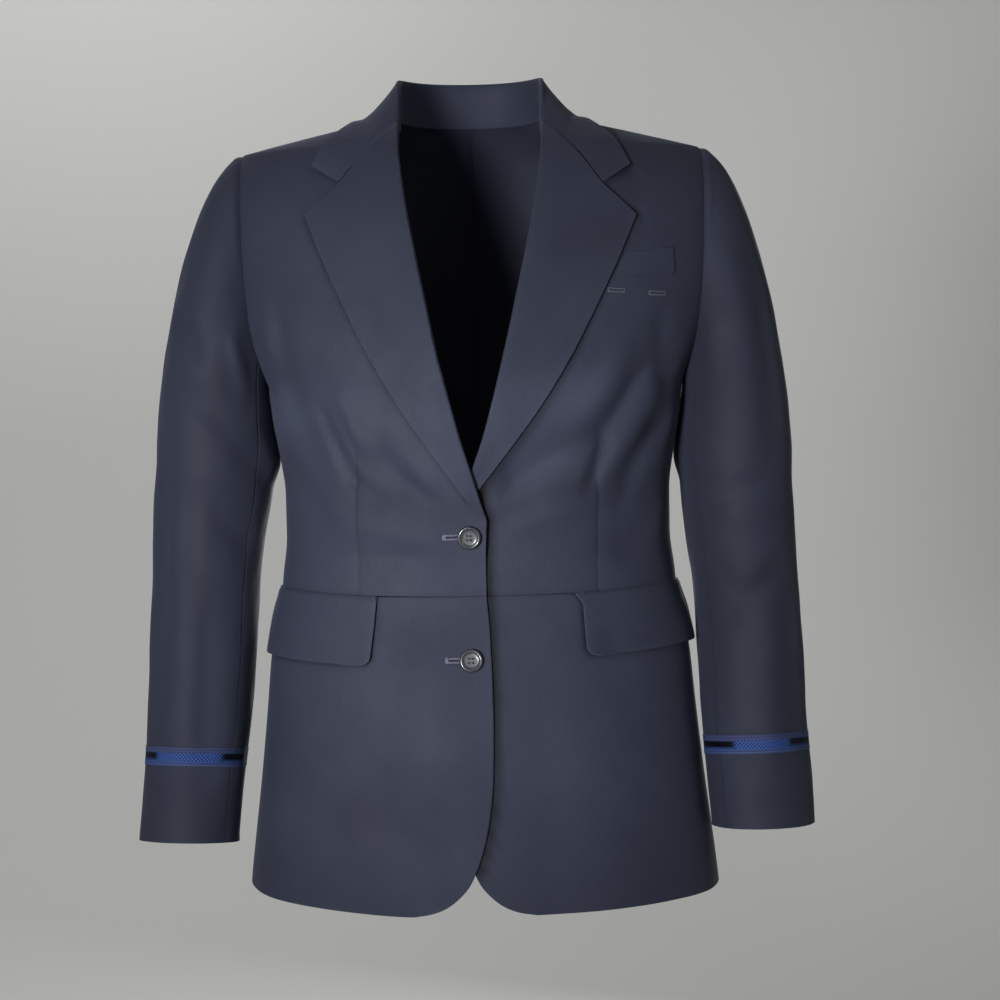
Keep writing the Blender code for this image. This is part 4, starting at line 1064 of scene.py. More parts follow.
def collar_painted_shadow(side, x, z):
    # Painted shadow on the front close round the collar's and the lapel's points
    notch = NOTCH_DROP_LEFT if side > 0 else NOTCH_DROP_RIGHT
    away = np.full_like(z, 1.0)
    for start, end in zip(COLLAR_LINE[:-1], COLLAR_LINE[1:]):
        line = (end[0] - start[0], end[1] - start[1])
        length = math.hypot(line[0], line[1])
        along = ((x - start[0]) * line[0] + (z + notch - start[1]) * line[1]) / length ** 2
        along = np.clip(along, 0.0, 1.0)
        away = np.minimum(away, np.hypot(x - start[0] - line[0] * along, z + notch - start[1] - line[1] * along))
    if side > 0:
        return 0.42 * np.exp(-(away / 0.0030) ** 2)
    return 0.22 * np.exp(-(away / 0.0020) ** 2)


def lap_painted_shadow(side, x, z):
    # Painted shadow on the underlapping front beside the other front's edge
    if side < 0:
        return np.zeros_like(x)
    lapping = -border_x(-1, z)
    away = x - lapping
    return 0.84 * smooth((-0.312 - z) / 0.03) * smooth((0.0112 - away) / 0.0105)


def flap_inner(side, v):
    # The flap's inner edge before its corner is rounded; v runs from 0 at the seam to 1 at the lower edge
    if side > 0:
        return FLAP_INNER_X - 0.0040 + 0.0058 * smooth(v / 0.22) + 0.0015 * v
    return FLAP_INNER_X + 0.0072 * np.abs(v) ** 1.3


def flap_painted_shadow(side, x, z):
    # Painted shadow on the skirt close round the flap's free edges
    drop = FLAP_DROP_LEFT if side > 0 else FLAP_DROP_RIGHT
    corner = FLAP_CORNER_LEFT if side > 0 else FLAP_CORNER_RIGHT
    down = waist_z(x) - z
    across = x - flap_inner(side, np.clip(down / drop, 0.0, 1.0))
    up = drop - down
    round_away = np.hypot(np.maximum(corner - across, 0.0), np.maximum(corner - up, 0.0)) - corner
    straight_away = np.maximum(-across, -up)
    away = np.where((across < corner) & (up < corner), round_away, straight_away)
    return 0.66 * np.exp(-np.maximum(away, 0.0) / 0.0018)


def slit_shade(side, x, z):
    # Painted shade in the slits of the buttonholes
    total = np.zeros_like(x)
    if side < 0:
        for height in BUTTON_HEIGHTS:
            inside = smooth((x - BUTTONHOLE_LEFT + BUTTONHOLE_LENGTH) / 0.001) * smooth((BUTTONHOLE_LEFT - x) / 0.001)
            total = total + 0.5 * inside * np.exp(-((z - height) / 0.0012) ** 2)
    return total


def scuff_and_painted_light_tone(side, x, z):
    # Small scuffs, and broad patches of painted highlight and painted shade
    total = np.zeros_like(x)
    for row in SCUFFS_AND_PAINTED_LIGHT:
        if row[0] == side:
            total = total + row[4] * np.exp(-(((x - row[1]) / row[3]) ** 2 + ((z - row[2]) / (row[3] * 0.7)) ** 2))
    return total


ARM_ROWS = 70
LOWER_ROWS = 62


def front_panel(side, name):
    shares = dart_steps()[None, :]
    bottom_ref = waist_z(0.1755)
    fractions, angles = row_fractions(bottom_ref, ARM_ROWS, LOWER_ROWS)
    fraction = fractions[:, None]
    start_x = border_x(side, 0.0) + LAPEL_GAP
    top_x = lerp(start_x, SHOULDER_X, shares)
    top_z = shoulder_z(top_x)
    guess = border_x(side, waist_z(0.0))
    bottom = waist_z(lerp(guess, 0.1755, shares))
    z = lerp(top_z, bottom, fraction)
    fold_back = smooth((z - LAPEL_FOOT_Z) / 0.022)
    first = border_x(side, z) + LAPEL_GAP * fold_back
    last = np.where(z < SHOULDER_Z, end_x(z), SHOULDER_X)
    roundness = smooth(fraction / fractions[ARM_ROWS])
    middle = lerp(DART_X, 0.5 * (first + last), smooth((z + 0.270) / 0.200))
    inner_share = np.clip(shares / 0.5, 0.0, 1.0)
    outer_share = np.clip((shares - 0.5) / 0.5, 0.0, 1.0)
    outer_share = lerp(outer_share, np.sin(0.5 * math.pi * outer_share), 0.9 * roundness)
    x = np.where(shares < 0.5, lerp(first, middle, inner_share), lerp(middle, last, outer_share))
    x[0] = top_x[0]
    points, normals = front_surface(side, x, z)
    top = np.stack((x[0], np.full_like(x[0], -0.5 * SEAM_GAP), z[0]), axis=-1)
    turn = np.array((side, 1.0, 1.0))
    points[0] = top * turn
    normals[0] = torso_normal(np.stack((x[0], np.zeros_like(x[0]), z[0]), axis=-1)) * turn
    shared, across = armhole_frame(-angles)
    points[: ARM_ROWS + 1, -1] = armhole_point(-angles) * turn
    normals[: ARM_ROWS + 1, -1] = shared * turn
    points[:, -1, 1] = np.minimum(points[:, -1, 1], -0.5 * SEAM_GAP)
    tone = edge_tone(*z.shape, points, {"top": -1, "right": -1, "bottom": -0.8}, 0.16, 0.0025)
    # Painted shade: the front darker towards the shoulder
    tone = tone - SHOULDER_PAINTED_SHADE * smooth((z + 0.17) / 0.12)
    # Painted highlight along the overlapping front's pressed edge below the lapel
    pressed_edge_highlight = edge_tone(*z.shape, points, {"left": 1}, 0.22, 0.0028) - 1.0
    tone = tone + scuff_and_painted_light_tone(side, x, z) + pressed_edge_highlight * smooth((LAPEL_FOOT_Z - 0.004 - z) / 0.02) * (side < 0)
    near_dart = np.exp(-((x - DART_X) / 0.0010) ** 2) * dart_reach(side, z)
    tone = tone - 0.22 * near_dart * (1.0 - 0.6 * smooth((-0.360 - z) / 0.04))
    # Painted shadows beside the lapel's edge, round the collar's points, beside the other front's edge and in the
    # buttonhole slits
    front_painted_shadow = np.maximum(lapel_painted_shadow(side, x, z), collar_painted_shadow(side, x, z))
    tone = tone - front_painted_shadow - lap_painted_shadow(side, x, z) - slit_shade(side, x, z)
    thing = wall_piece(name, points, normals, CLOTH, tone=tone)
    place_cloth(thing, name)
    return thing


def hem_z(side, x):
    rise = HEM_RISE_LEFT if side > 0 else HEM_RISE_RIGHT
    along = np.maximum(0.0, (np.abs(x) - 0.052) / 0.158)
    return HEM_Z + rise * along ** 1.3


SKIRT_SHARES = ((0.0, 0.0), (0.2, 0.29), (0.4, 0.56), (0.6, 0.77), (0.8, 0.93), (1.0, 1.0))


def skirt_panel(side, name):
    shares = edge_steps(60, 0.0012, 0.2)[None, :]
    even = edge_steps(110, 0.0012, 0.27)
    fraction = look_up(SKIRT_SHARES, 1, even)[:, None]
    fraction[0] = 0.0
    fraction[-1] = 1.0
    edge_start = border_x(side, waist_z(0.0))
    top = waist_z(lerp(edge_start, 0.1755, shares)) - SEAM_GAP
    bottom = hem_z(side, lerp(0.052, 0.207, shares))
    z = lerp(top, bottom, fraction)
    first = border_x(side, z)
    last = end_x(z)
    front = np.ones_like(z, dtype=bool)
    x = lerp(first, last, column_share(shares, z, first, last, front, 1.0))
    points, normals = front_surface(side, x, z)
    points[:, -1, 1] = -0.5 * SEAM_GAP
    tone = edge_tone(*z.shape, points, {"top": -0.8, "right": -1}, 0.16, 0.0025)
    # Painted highlights along the pressed front edge and hem
    tone = tone + edge_tone(*z.shape, points, {"left": 1, "bottom": 0.6}, 0.15, 0.004) - 1.0
    # Scuffs and painted light; painted shadows beside the other front's edge, in the buttonhole slit and round the flap
    tone = tone + scuff_and_painted_light_tone(side, x, z) - lap_painted_shadow(side, x, z) - slit_shade(side, x, z)
    tone = tone - flap_painted_shadow(side, x, z)
    thing = wall_piece(name, points, normals, CLOTH, tone=tone)
    place_cloth(thing, name)
    return thing


BACK_NODES = (0.0, 0.07, 0.145, 0.215, 0.27, 0.302, 0.3168)


def back_surface(side, x, z, normal_only=False):
    front = np.zeros_like(x, dtype=bool)
    base = np.stack((x, torso_y(x, z, front), z), axis=-1)
    return base


def back_drape(side, x, z):
    world = side * x
    total = cloth_waves(x, z, 7.7 if side > 0 else 9.2)
    for row in BACK_CREASES:
        total = total + row[5] * fold_amount(world, z, (row[0], row[1]), (row[2], row[3]), row[4])
    return total


def back_panel(side, name):
    neck = np.interp(np.linspace(0.0, 1.0, 26), np.linspace(0.0, 1.0, 7), BACK_NODES)
    rest = np.linspace(BACK_NODES[-1], 1.0, 40)[1:]
    shares = np.concatenate((neck, rest))[None, :]
    fractions, angles = row_fractions(HEM_BACK_Z, ARM_ROWS, 110)
    fraction = fractions[:, None]
    top_x = shares * SHOULDER_X
    top_z = shoulder_z(top_x)
    side_hem = hem_z(side, 0.207)
    bottom = lerp(HEM_BACK_Z, side_hem, smooth((shares - 0.55) / 0.45))
    z = lerp(top_z, bottom, fraction)
    last = np.where(z < SHOULDER_Z, end_x(z), SHOULDER_X)
    roundness = smooth(fraction / fractions[ARM_ROWS])
    back = np.zeros_like(z, dtype=bool)
    x = last * column_share(shares, z, np.zeros_like(z), last, back, roundness)
    x[0] = top_x[0]
    base = np.stack((x, torso_y(x, z, back), z), axis=-1)
    seam = x[0] >= NECK_X - 0.0001
    base[0, seam, 1] = 0.5 * SEAM_GAP
    normals = torso_normal(base)
    normals[:, 0, 0] = 0.0
    normals = unit(normals)
    calm = smooth((SHOULDER_Z + 0.01 - z) / 0.04) * smooth((last - x) / 0.012) * smooth(x / 0.004)
    base = base + normals * (back_drape(side, x, z) * calm)[..., None]
    shared, across = armhole_frame(angles)
    base[: ARM_ROWS + 1, -1] = armhole_point(angles)
    normals[: ARM_ROWS + 1, -1] = shared
    base[:, -1, 1] = np.maximum(base[:, -1, 1], 0.5 * SEAM_GAP)
    base[:, 0, 0] = 0.5 * SEAM_GAP
    turn = np.array((side, 1.0, 1.0))
    points = base * turn
    tone = edge_tone(*z.shape, points, {"top": -0.8, "right": -1, "left": -1}, 0.16, 0.0025)
    # Painted highlight along the pressed hem
    tone = tone + edge_tone(*z.shape, points, {"bottom": 0.8}, 0.10, 0.006) - 1.0
    thing = wall_piece(name, points, normals * turn, CLOTH, tone=tone)
    place_cloth(thing, name)
    return thing


def sleeve_table(side):
    return SLEEVE_LEFT if side > 0 else SLEEVE_RIGHT


def cuff_drop(side, angle, braid=False):
    tilt = CUFF_TILT_LEFT if side > 0 else CUFF_TILT_RIGHT
    if braid:
        tilt = BRAID_TILT_LEFT if side > 0 else BRAID_TILT_RIGHT
    return tilt[0] + tilt[1] * np.cos(angle) + tilt[2] * np.sin(angle)


def sleeve_ring(side, angle, z):
    table = sleeve_table(side)
    centre_x, half_width, centre_y, half_depth = [look_up(table, column, z) for column in range(1, 5)]
    return np.stack((centre_x + half_width * np.cos(angle), centre_y + half_depth * np.sin(angle), z + 0.0 * angle),
                    axis=-1)


def sleeve_drape(side, angle, z):
    degrees = np.degrees(angle)
    degrees = np.where(degrees > 180.0, degrees - 360.0, degrees)
    radius = 0.056
    arc = np.radians(degrees) * radius
    total = cloth_waves(np.sin(angle) * 0.1, z, 2.2 if side > 0 else 5.9)
    for row in SLEEVE_CREASES:
        if row[0] != side:
            continue
        start = (math.radians(row[1]) * radius, row[2])
        end = (math.radians(row[3]) * radius, row[4])
        total = total + row[6] * fold_amount(arc, z, start, end, row[5], 0.2)
    return total


def sleeve_grid(side):
    table = sleeve_table(side)
    bicep_z = table[0][0]
    cuff_z = table[-1][0]
    angle = (math.pi / ARM_STEPS) * np.arange(-ARM_STEPS * 6, ARM_STEPS * 6) / 6.0
    t = np.linspace(0.0, 1.0, 64)
    t = np.sort(np.concatenate((t, (0.004, 0.010, 0.022, 0.030, 0.042))))
    t = lerp(t, t * t, 0.35)[:, None, None]
    shared, across = armhole_frame(angle)
    start = (armhole_point(angle) + across * SEAM_GAP)[None]
    end = sleeve_ring(side, angle, np.full_like(angle, bicep_z))[None]
    reach = np.linalg.norm(end - start, axis=2, keepdims=True)
    leave = cap_direction(angle)[None] * reach * CAP_START
    arrive = np.array((0.0, 0.0, -1.0)) * reach * CAP_END
    cap = start * (2 * t ** 3 - 3 * t ** 2 + 1) + leave * (t ** 3 - 2 * t ** 2 + t)
    cap = cap + end * (3 * t ** 2 - 2 * t ** 3) + arrive * (t ** 3 - t ** 2)
    share = edge_steps(96, 0.0012, 0.33)[1:, None]
    end_z = cuff_z - cuff_drop(side, angle)[None]
    low = sleeve_ring(side, np.broadcast_to(angle, (len(share), len(angle))), lerp(bicep_z, end_z, share))
    rows = np.concatenate((cap, low))
    near_side = np.exp(-((np.pi - np.abs(np.broadcast_to(angle, rows.shape[:2]))) / 0.55) ** 2)
    z = rows[..., 2]
    touching = smooth((-0.242 - z) / 0.012) * smooth((z + 0.326) / 0.034)
    gap = np.maximum(0.0, rows[..., 0].min(axis=1, keepdims=True) - end_x(z) - 0.0006)
    rows[..., 0] = rows[..., 0] - gap * near_side * touching
    normals = grid_normals(rows, ring=True)
    if normals[-1, ARM_STEPS * 6, 0] < 0.0:
        normals = -normals
    normals[0] = shared
    down = np.linalg.norm(np.diff(rows, axis=0), axis=2)
    far = np.concatenate((np.zeros((1, rows.shape[1])), np.cumsum(down, axis=0)), axis=0)
    z = rows[..., 2]
    full = np.broadcast_to(angle, z.shape)
    high = smooth((np.cos(full) + 0.1) / 0.8)
    rope = ROPE_HEIGHT * high * np.exp(-((far - ROPE_PLACE) / ROPE_WIDTH) ** 2) * smooth(far / 0.003)
    # Small gathers of the eased sleeve head
    rope = rope + 0.0003 * high * np.sin(full * 42.0) * np.exp(-((far - 0.012) / 0.012) ** 2) * smooth(far / 0.004)
    drape = sleeve_drape(side, full, z) * smooth((far - 0.004) / 0.03)
    rows = rows + normals * (rope + drape)[..., None]
    fresh = grid_normals(rows, ring=True)
    if fresh[-1, ARM_STEPS * 6, 0] < 0.0:
        fresh = -fresh
    fresh[0] = shared
    return rows, fresh, far


def sleeve_painted_light_tone(side, angle, z):
    # Broad painted highlights and painted shade on each sleeve: centre angle, its breadth, height range, amount
    degrees = np.degrees(angle)
    total = np.zeros_like(z)
    for row in SLEEVE_PAINTED_LIGHT:
        if row[0] == side:
            near = np.exp(-((degrees - row[1]) / row[2]) ** 2)
            total = total + row[5] * near * smooth((row[3] - z) / 0.07) * smooth((z - row[4]) / 0.07)
    return total


def sleeve_piece(side, name, rows, normals, far, columns):
    points = rows[:, columns].copy()
    sides = normals[:, columns]
    turn = np.array((side, 1.0, 1.0))
    count = points.shape[1]
    middle = np.arange(count)
    gap = np.minimum(middle, middle[::-1])[None, :] * 0.0022
    angle = (math.pi / ARM_STEPS) * (columns - ARM_STEPS * 6) / 6.0
    angle = np.broadcast_to(np.where(angle > 1.8, angle - 2.0 * math.pi, angle), points.shape[:2])
    # Painted shade over the whole sleeve; its seams are darker
    tone = SLEEVE_PAINTED_SHADE - 0.16 * np.exp(-(gap / 0.0025) ** 2)
    tone = tone + sleeve_painted_light_tone(side, angle, points[..., 2])
    tone = tone - 0.12 * np.exp(-(far[:, columns] / 0.0020) ** 2)
    # Painted highlight along the pressed cuff edge
    rest = far[-1:, columns] - far[:, columns]
    tone = tone + 0.08 * np.exp(-(rest / 0.005) ** 2)
    if side > 0:
        points = points[:, ::-1]
        sides = sides[:, ::-1]
        tone = tone[:, ::-1]
    thing = wall_piece(name, points * turn, sides * turn, CLOTH, tone=tone)
    place_cloth(thing, name)
    return thing


def sleeve_pair(side, upper_name, under_name):
    rows, normals, far = sleeve_grid(side)
    total = 2 * ARM_STEPS * 6
    front_seam = FRONT_SLEEVE_SEAM
    hind_seam = total - HIND_SLEEVE_SEAM * 6
    upper = np.arange(front_seam, hind_seam + 1)
    under = np.arange(hind_seam, total + front_seam + 1) % total
    sleeve_piece(side, upper_name, rows, normals, far, upper)
    sleeve_piece(side, under_name, rows, normals, far, under)


def braid_band(side, name):
    table = sleeve_table(side)
    bottom = table[-1][0] + BRAID_ABOVE_HEM
    angle = np.linspace(-math.pi, math.pi, 241)[:-1]
    share = np.linspace(0.0, 1.0, 45)[:, None]
    z = bottom + BRAID_HEIGHT * (1.0 - share) - cuff_drop(side, angle, True)[None]
    full = np.broadcast_to(angle, z.shape)
    here = sleeve_ring(side, full, z)
    ahead = sleeve_ring(side, full + 0.05, z)
    behind = sleeve_ring(side, full - 0.05, z)
    along = ahead - behind
    normal = unit(np.stack((along[..., 1], -along[..., 0], np.zeros_like(z)), axis=-1))
    centre = np.abs(share - 0.5) < 0.16
    ribs = np.where(centre, -0.0001, 0.00010 * np.cos(share * 2.0 * math.pi / 0.0735))
    off = BRAID_WALL + ribs - 0.0001 + sleeve_drape(side, full, z)
    turn = np.array((side, 1.0, 1.0))
    points = (here + normal * off[..., None]) * turn
    step = np.linalg.norm(np.roll(points, -1, axis=1) - points, axis=2)
    around = np.cumsum(step, axis=1)
    uv = np.stack((around, np.broadcast_to(1.0 - share, z.shape)), axis=-1)
    first, last = STRIPE_LEFT if side > 0 else STRIPE_RIGHT
    degrees = np.degrees(full)
    # Painted shade: the centre stripe is black beyond its blue angles
    stripe_shade_band = 1.0 - smooth((first + 4.0 - degrees) / 8.0) * smooth((degrees - last + 4.0) / 8.0)
    thing = wall_piece(name, points, normal * turn, BRAID, BRAID_WALL, ring=True, tone=stripe_shade_band, uv=uv, rim=0.0003)
    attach(thing, "root")
    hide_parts(name)
    return thing


def turned_cloth(name, points, tone):
    normals = grid_normals(points)
    middle = points.shape[0] // 2
    if normals[middle, -4, 1] > 0.0:
        normals = -normals
    thing = wall_piece(name, points, normals, CLOTH, tone=tone)
    place_cloth(thing, name)
    return thing


def lapel(side, name):
    rows = 130
    t = edge_steps(rows, 0.0012, 0.33)[:, None]
    roll_z = lerp(GORGE[0][2], LAPEL_FOOT_Z, t)
    edge_z = lerp(LAPEL_EDGE[0][0], LAPEL_FOOT_Z - 0.003, t)
    roll_x = border_x(side, roll_z)
    edge_x = side * closing_x(edge_z) + look_up(LAPEL_EDGE, 1, edge_z)
    edge_x = np.maximum(edge_x, roll_x + 0.0016)
    width = np.hypot(edge_x - roll_x, edge_z - roll_z)
    foot = smooth((roll_z - LAPEL_FOOT_Z) / 0.030)
    flat = lerp(-0.0009, LIE_GAP + WALL, foot)
    lift = lerp(0.0056, LIE_GAP + WALL + 0.0002, smooth((-0.170 - roll_z) / 0.100))
    lift = lerp(flat, lift, foot)
    narrow = np.clip(width / 0.022, 0.0, 1.0)
    radius = 0.0022 * narrow
    distance = []
    height = []
    for k in range(4):
        distance.append(0.0 * t)
        height.append(lerp(-0.0017, lerp(-0.0012, 0.0010, foot), k / 4.0))
    for k in range(9):
        turn_angle = math.radians(90.0 * k / 8.0)
        distance.append(radius * (1.0 - math.cos(turn_angle)))
        base = lerp(-0.0012, 0.0010, foot)
        height.append(base + (lift - base) * math.sin(turn_angle))
    for share in edge_steps(40, 0.0012, 0.08)[2:]:
        place = radius + (width - radius) * share
        distance.append(place)
        height.append(lerp(lift, flat, smooth(place / width / 0.7)))
    distance = np.concatenate(distance, axis=1)
    height = np.concatenate(height, axis=1)
    share = distance / width
    straight_x = lerp(roll_x, edge_x, share)
    straight_z = lerp(roll_z, edge_z, share)
    bend_x = corner_line(GORGE, 1, share) - lerp(GORGE[0][1], GORGE[-1][1], share)
    bend_z = corner_line(GORGE, 2, share) - lerp(GORGE[0][2], GORGE[-1][2], share)
    keep = (1.0 - t) ** 4
    x = straight_x + bend_x * keep
    notch = NOTCH_DROP_LEFT if side > 0 else NOTCH_DROP_RIGHT
    z = straight_z + bend_z * keep - notch * keep * share
    waves = 0.0005 * np.sin(share * 3.0 + t * 9.0) * np.sin(math.pi * share) * smooth(width / 0.05)
    points, normals = front_surface(side, x, z, height + waves)
    # Painted highlights along the lapel's pressed edges, and painted shade over the whole lapel
    tone = edge_tone(*z.shape, points, {"right": 1, "bottom": 0.3}, 0.10, 0.005)
    tone = tone + edge_tone(*z.shape, points, {"top": 1}, 0.05, 0.003) - 2.0 + LAPEL_PAINTED_SHADE
    tone = tone + scuff_and_painted_light_tone(side, x, z)
    return turned_cloth(name, points, tone)


def held_clear(points, off, settle=False):
    # Moves points out until they lie at least this far off the torso; settled points also come down to it
    points = points.copy()
    for _ in range(24):
        probe = points.copy()
        above = np.maximum(probe[..., 2], 0.0)
        probe[..., 2] = np.minimum(probe[..., 2], 0.0)
        normal = torso_normal(probe)
        deep = probe - normal * np.maximum(off - above, 0.0)[..., None]
        value = oval_value(deep[..., 0], deep[..., 1], deep[..., 2])
        step = 0.0005
        ahead = deep + normal * step
        slope = (oval_value(ahead[..., 0], ahead[..., 1], ahead[..., 2]) - value) / step
        need = np.where(above < off, (1.0 - value) / np.maximum(slope, 1.0), 0.0)
        move = np.where(need > 0.00002, np.clip(need, 0.0, 0.004), 0.0)
        if settle:
            move = np.where(need < -0.00005, np.clip(need, -0.001, 0.0), move)
        points = points + normal * move[..., None]
    return points


def whole_collar():
    # The stations of both halves, so that the curves run smoothly across the centre back
    signs = (-1, -1, 1, 1, -1, 1, 1, -1, 1, 1)
    other = [tuple(v * sign for v, sign in zip(row, signs)) for row in COLLAR[:0:-1]]
    return tuple(other) + COLLAR


def collar(name):
    share = np.linspace(0.0, 1.0, 96)[:, None]
    stations = whole_collar()
    neck = np.concatenate([look_up(stations, column, share) for column in (1, 2, 3)], axis=1)
    fold = np.concatenate([look_up(stations, column, share) for column in (4, 5, 6)], axis=1)
    edge = np.concatenate([look_up(stations, column, share) for column in (7, 8, 9)], axis=1)
    stand = np.maximum(0.0, fold[:, 2] - neck[:, 2])
    rise = smooth(stand / 0.02)[:, None]
    outward = np.stack((fold[:, 0], np.maximum(fold[:, 1], -0.3 * fold[:, 0]), np.zeros(len(fold))), axis=1)
    outward[0] = (0.0, 1.0, 0.0)
    outward = unit(outward)
    crest = fold + outward * 0.0035 * rise
    flat = smooth((share - 0.70) / 0.30)
    lift = LIE_GAP + WALL
    off = lift + 0.0016 * smooth((0.98 - share[:, 0]) / 0.10)
    edge = held_clear(edge, off + 0.0002, True)
    up = np.array((0.0, 0.0, 1.0))
    beside = smooth((share - 0.20) / 0.30)
    bulge = lerp(0.006, -0.002, beside) * (1.0 - flat)
    control = lerp(crest, edge, lerp(0.42, 0.30, beside)) + up * bulge
    columns = []
    for t in edge_steps(40, 0.0012, 0.08)[::-1][:-1]:
        t = max(t, 0.02)
        point = crest * (1 - t) ** 2 + control * 2 * t * (1 - t) + edge * t * t
        end_x_place = float(corner_line(COLLAR_END, 1, t))
        end_z_place = float(corner_line(COLLAR_END, 2, t))
        base = np.array((end_x_place, float(torso_y(np.array(end_x_place), np.array(end_z_place), True)), end_z_place))
        end_lift = lerp(0.0056, lift, float(smooth(t / 0.7)))
        base = base + torso_normal(base[None])[0] * end_lift
        point = lerp(point, base, np.clip((share - 0.60) / 0.40, 0.0, 1.0) ** 1.6)
        columns.append(held_clear(point, off + 0.0002))
    over = up * 0.0016
    columns.append(crest + (over * 0.4) * rise)
    columns.append(fold + outward * 0.0022 * rise + over * 0.9 * rise)
    columns.append(fold + outward * 0.0008 * rise + over * 0.8 * rise)
    columns.append(fold - up * 0.0006 * rise)
    foot = neck - outward * 0.0014 - up * 0.0035
    for k in range(1, 9):
        columns.append(lerp(fold - up * 0.0010 * rise, neck, k / 8.0))
    columns.append(foot)
    half = np.stack(columns, axis=0)
    mirror = half[:, :0:-1] * np.array((-1.0, 1.0, 1.0))
    points = np.concatenate((mirror, half), axis=1)
    near_end = np.clip(np.abs(np.linspace(-1.0, 1.0, points.shape[1])) / 0.4 - 1.5, 0.0, 1.0)[None, :] ** 2
    near_edge = np.clip(np.linspace(1.4, -0.4, points.shape[0]), 0.0, 1.0)[:, None]
    notch = np.where(points[..., 0] > 0.0, NOTCH_DROP_LEFT, NOTCH_DROP_RIGHT)
    points[..., 2] = points[..., 2] - notch * near_end * near_edge
    points[:38] = held_clear(points[:38], lift + 0.0002)
    waves = 0.0004 * np.sin(np.linspace(0.0, 14.0, points.shape[1]))[None, :]
    fade = np.clip(np.linspace(1.6, -0.4, points.shape[0]), 0.0, 1.0)[:, None]
    normals = grid_normals(points)
    if normals[1, points.shape[1] // 2, 1] < 0.0:
        normals = -normals
    points = points + normals * (waves * fade * 0.6)[..., None]
    # Painted highlights along the collar's pressed edges
    tone = edge_tone(*points.shape[:2], points, {"top": 1}, 0.10, 0.005)
    tone = tone + edge_tone(*points.shape[:2], points, {"left": 1, "right": 1}, 0.07, 0.004) - 1.0
    # Painted light: the collar a little lighter all over, darker towards its end on the wearer's left
    tone = tone + 0.08 - 0.28 * smooth((points[..., 0] - 0.045) / 0.030)
    thing = wall_piece(name, points, normals, CLOTH, tone=tone)
    place_cloth(thing, name)
    return thing


def flap(side, name):
    drop = FLAP_DROP_LEFT if side > 0 else FLAP_DROP_RIGHT
    corner = FLAP_CORNER_LEFT if side > 0 else FLAP_CORNER_RIGHT
    u = edge_steps(70, 0.0012, 0.14)[None, :]
    v = edge_steps(52, 0.0012, 0.055)[:, None]
    u = lerp(u, u * u, 0.10)
    round_in = np.maximum(0.0, 1.0 - (1.0 - v) * drop / corner)
    inner_x = flap_inner(side, v) + corner * (1.0 - np.sqrt(np.maximum(0.0, 1.0 - round_in ** 2)))
    top = waist_z(inner_x) - 0.0008
    z = top - drop * v
    width = full_width(z, np.ones_like(z, dtype=bool))
    first = np.arcsin((inner_x / width) ** (ROUNDNESS / 2.0))
    angle = lerp(first, FLAP_SIDE_ANGLE, u)
    x = width * np.sin(angle) ** (2.0 / ROUNDNESS)
    z = waist_z(x) - 0.0004 - drop * v
    curl = 0.0040 if side > 0 else 0.0018
    flare = 0.0026 * v * smooth((u - 0.6) / 0.4) + curl * v * (1.0 - smooth(u / 0.16))
    flare = flare + 0.0008 * smooth(v) * np.sin(u * 7.0 + side)
    roll = -0.0012 * np.exp(-(v * drop / 0.003) ** 2)
    points, normals = front_surface(side, x, z, LIE_GAP + WALL + flare + roll)
    # Painted highlights along the flap's inner and lower edges
    tone = edge_tone(*z.shape, points, {"left": 1, "bottom": 1}, 0.13, 0.004)
    tone = tone + edge_tone(*z.shape, points, {"top": -1}, 0.2, 0.0025) - 1.0
    normals = grid_normals(points)
    if normals[20, 20, 1] > 0.0:
        normals = -normals
    thing = wall_piece(name, points, normals, CLOTH, tone=tone)
    place_cloth(thing, name)
    return thing


def welt(side, name):
    u = edge_steps(36, 0.0010, 0.05)[None, :]
    v = edge_steps(20, 0.0010, 0.025)[:, None]
    x = lerp(lerp(WELT_TOP[0][0], WELT_TOP[1][0], u), lerp(WELT_BOTTOM[0][0], WELT_BOTTOM[1][0], u), v)
    z = lerp(lerp(WELT_TOP[0][1], WELT_TOP[1][1], u), lerp(WELT_BOTTOM[0][1], WELT_BOTTOM[1][1], u), v)
    sunk = -0.0016 * smooth((v - 0.82) / 0.18)
    points, normals = front_surface(side, x, z, 0.0013 + sunk + 0.0 * u)
    # Painted highlight along the welt's top edge
    tone = edge_tone(*z.shape, points, {"top": 1}, 0.10, 0.004)
    tone = tone + edge_tone(*z.shape, points, {"top": -0.8, "bottom": -1.3, "right": -0.8}, 0.28, 0.0014) - 1.0
    thing = wall_piece(name, points, normals, CLOTH, tone=tone)
    place_cloth(thing, name)
    return thing


# Small things


def mesh_object(name, mesh, material):
    mesh.materials.append(material)
    thing = bpy.data.objects.new(name, mesh)
    bpy.context.scene.collection.objects.link(thing)
    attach(thing, "root")
    return thing


def add_strand(shape, points, radius, sides=6):
    # A thread along some points, with pointed ends
    rings = []
    count = len(points)
    for i, point in enumerate(points):
        ahead = Vector(points[min(i + 1, count - 1)]) - Vector(points[max(i - 1, 0)])
        ahead.normalize()
        side = ahead.orthogonal().normalized()
        up = ahead.cross(side)
        size = radius * (0.55 if i in (0, count - 1) else 1.0)
        ring = []
        for k in range(sides):
            angle = 2.0 * math.pi * k / sides
            ring.append(shape.verts.new(Vector(point) + (side * math.cos(angle) + up * math.sin(angle)) * size))
        rings.append(ring)
    for first, second in zip(rings, rings[1:]):
        for k in range(sides):
            j = (k + 1) % sides
            shape.faces.new((first[k], first[j], second[j], second[k]))
    shape.faces.new(rings[0][::-1])
    shape.faces.new(rings[-1])


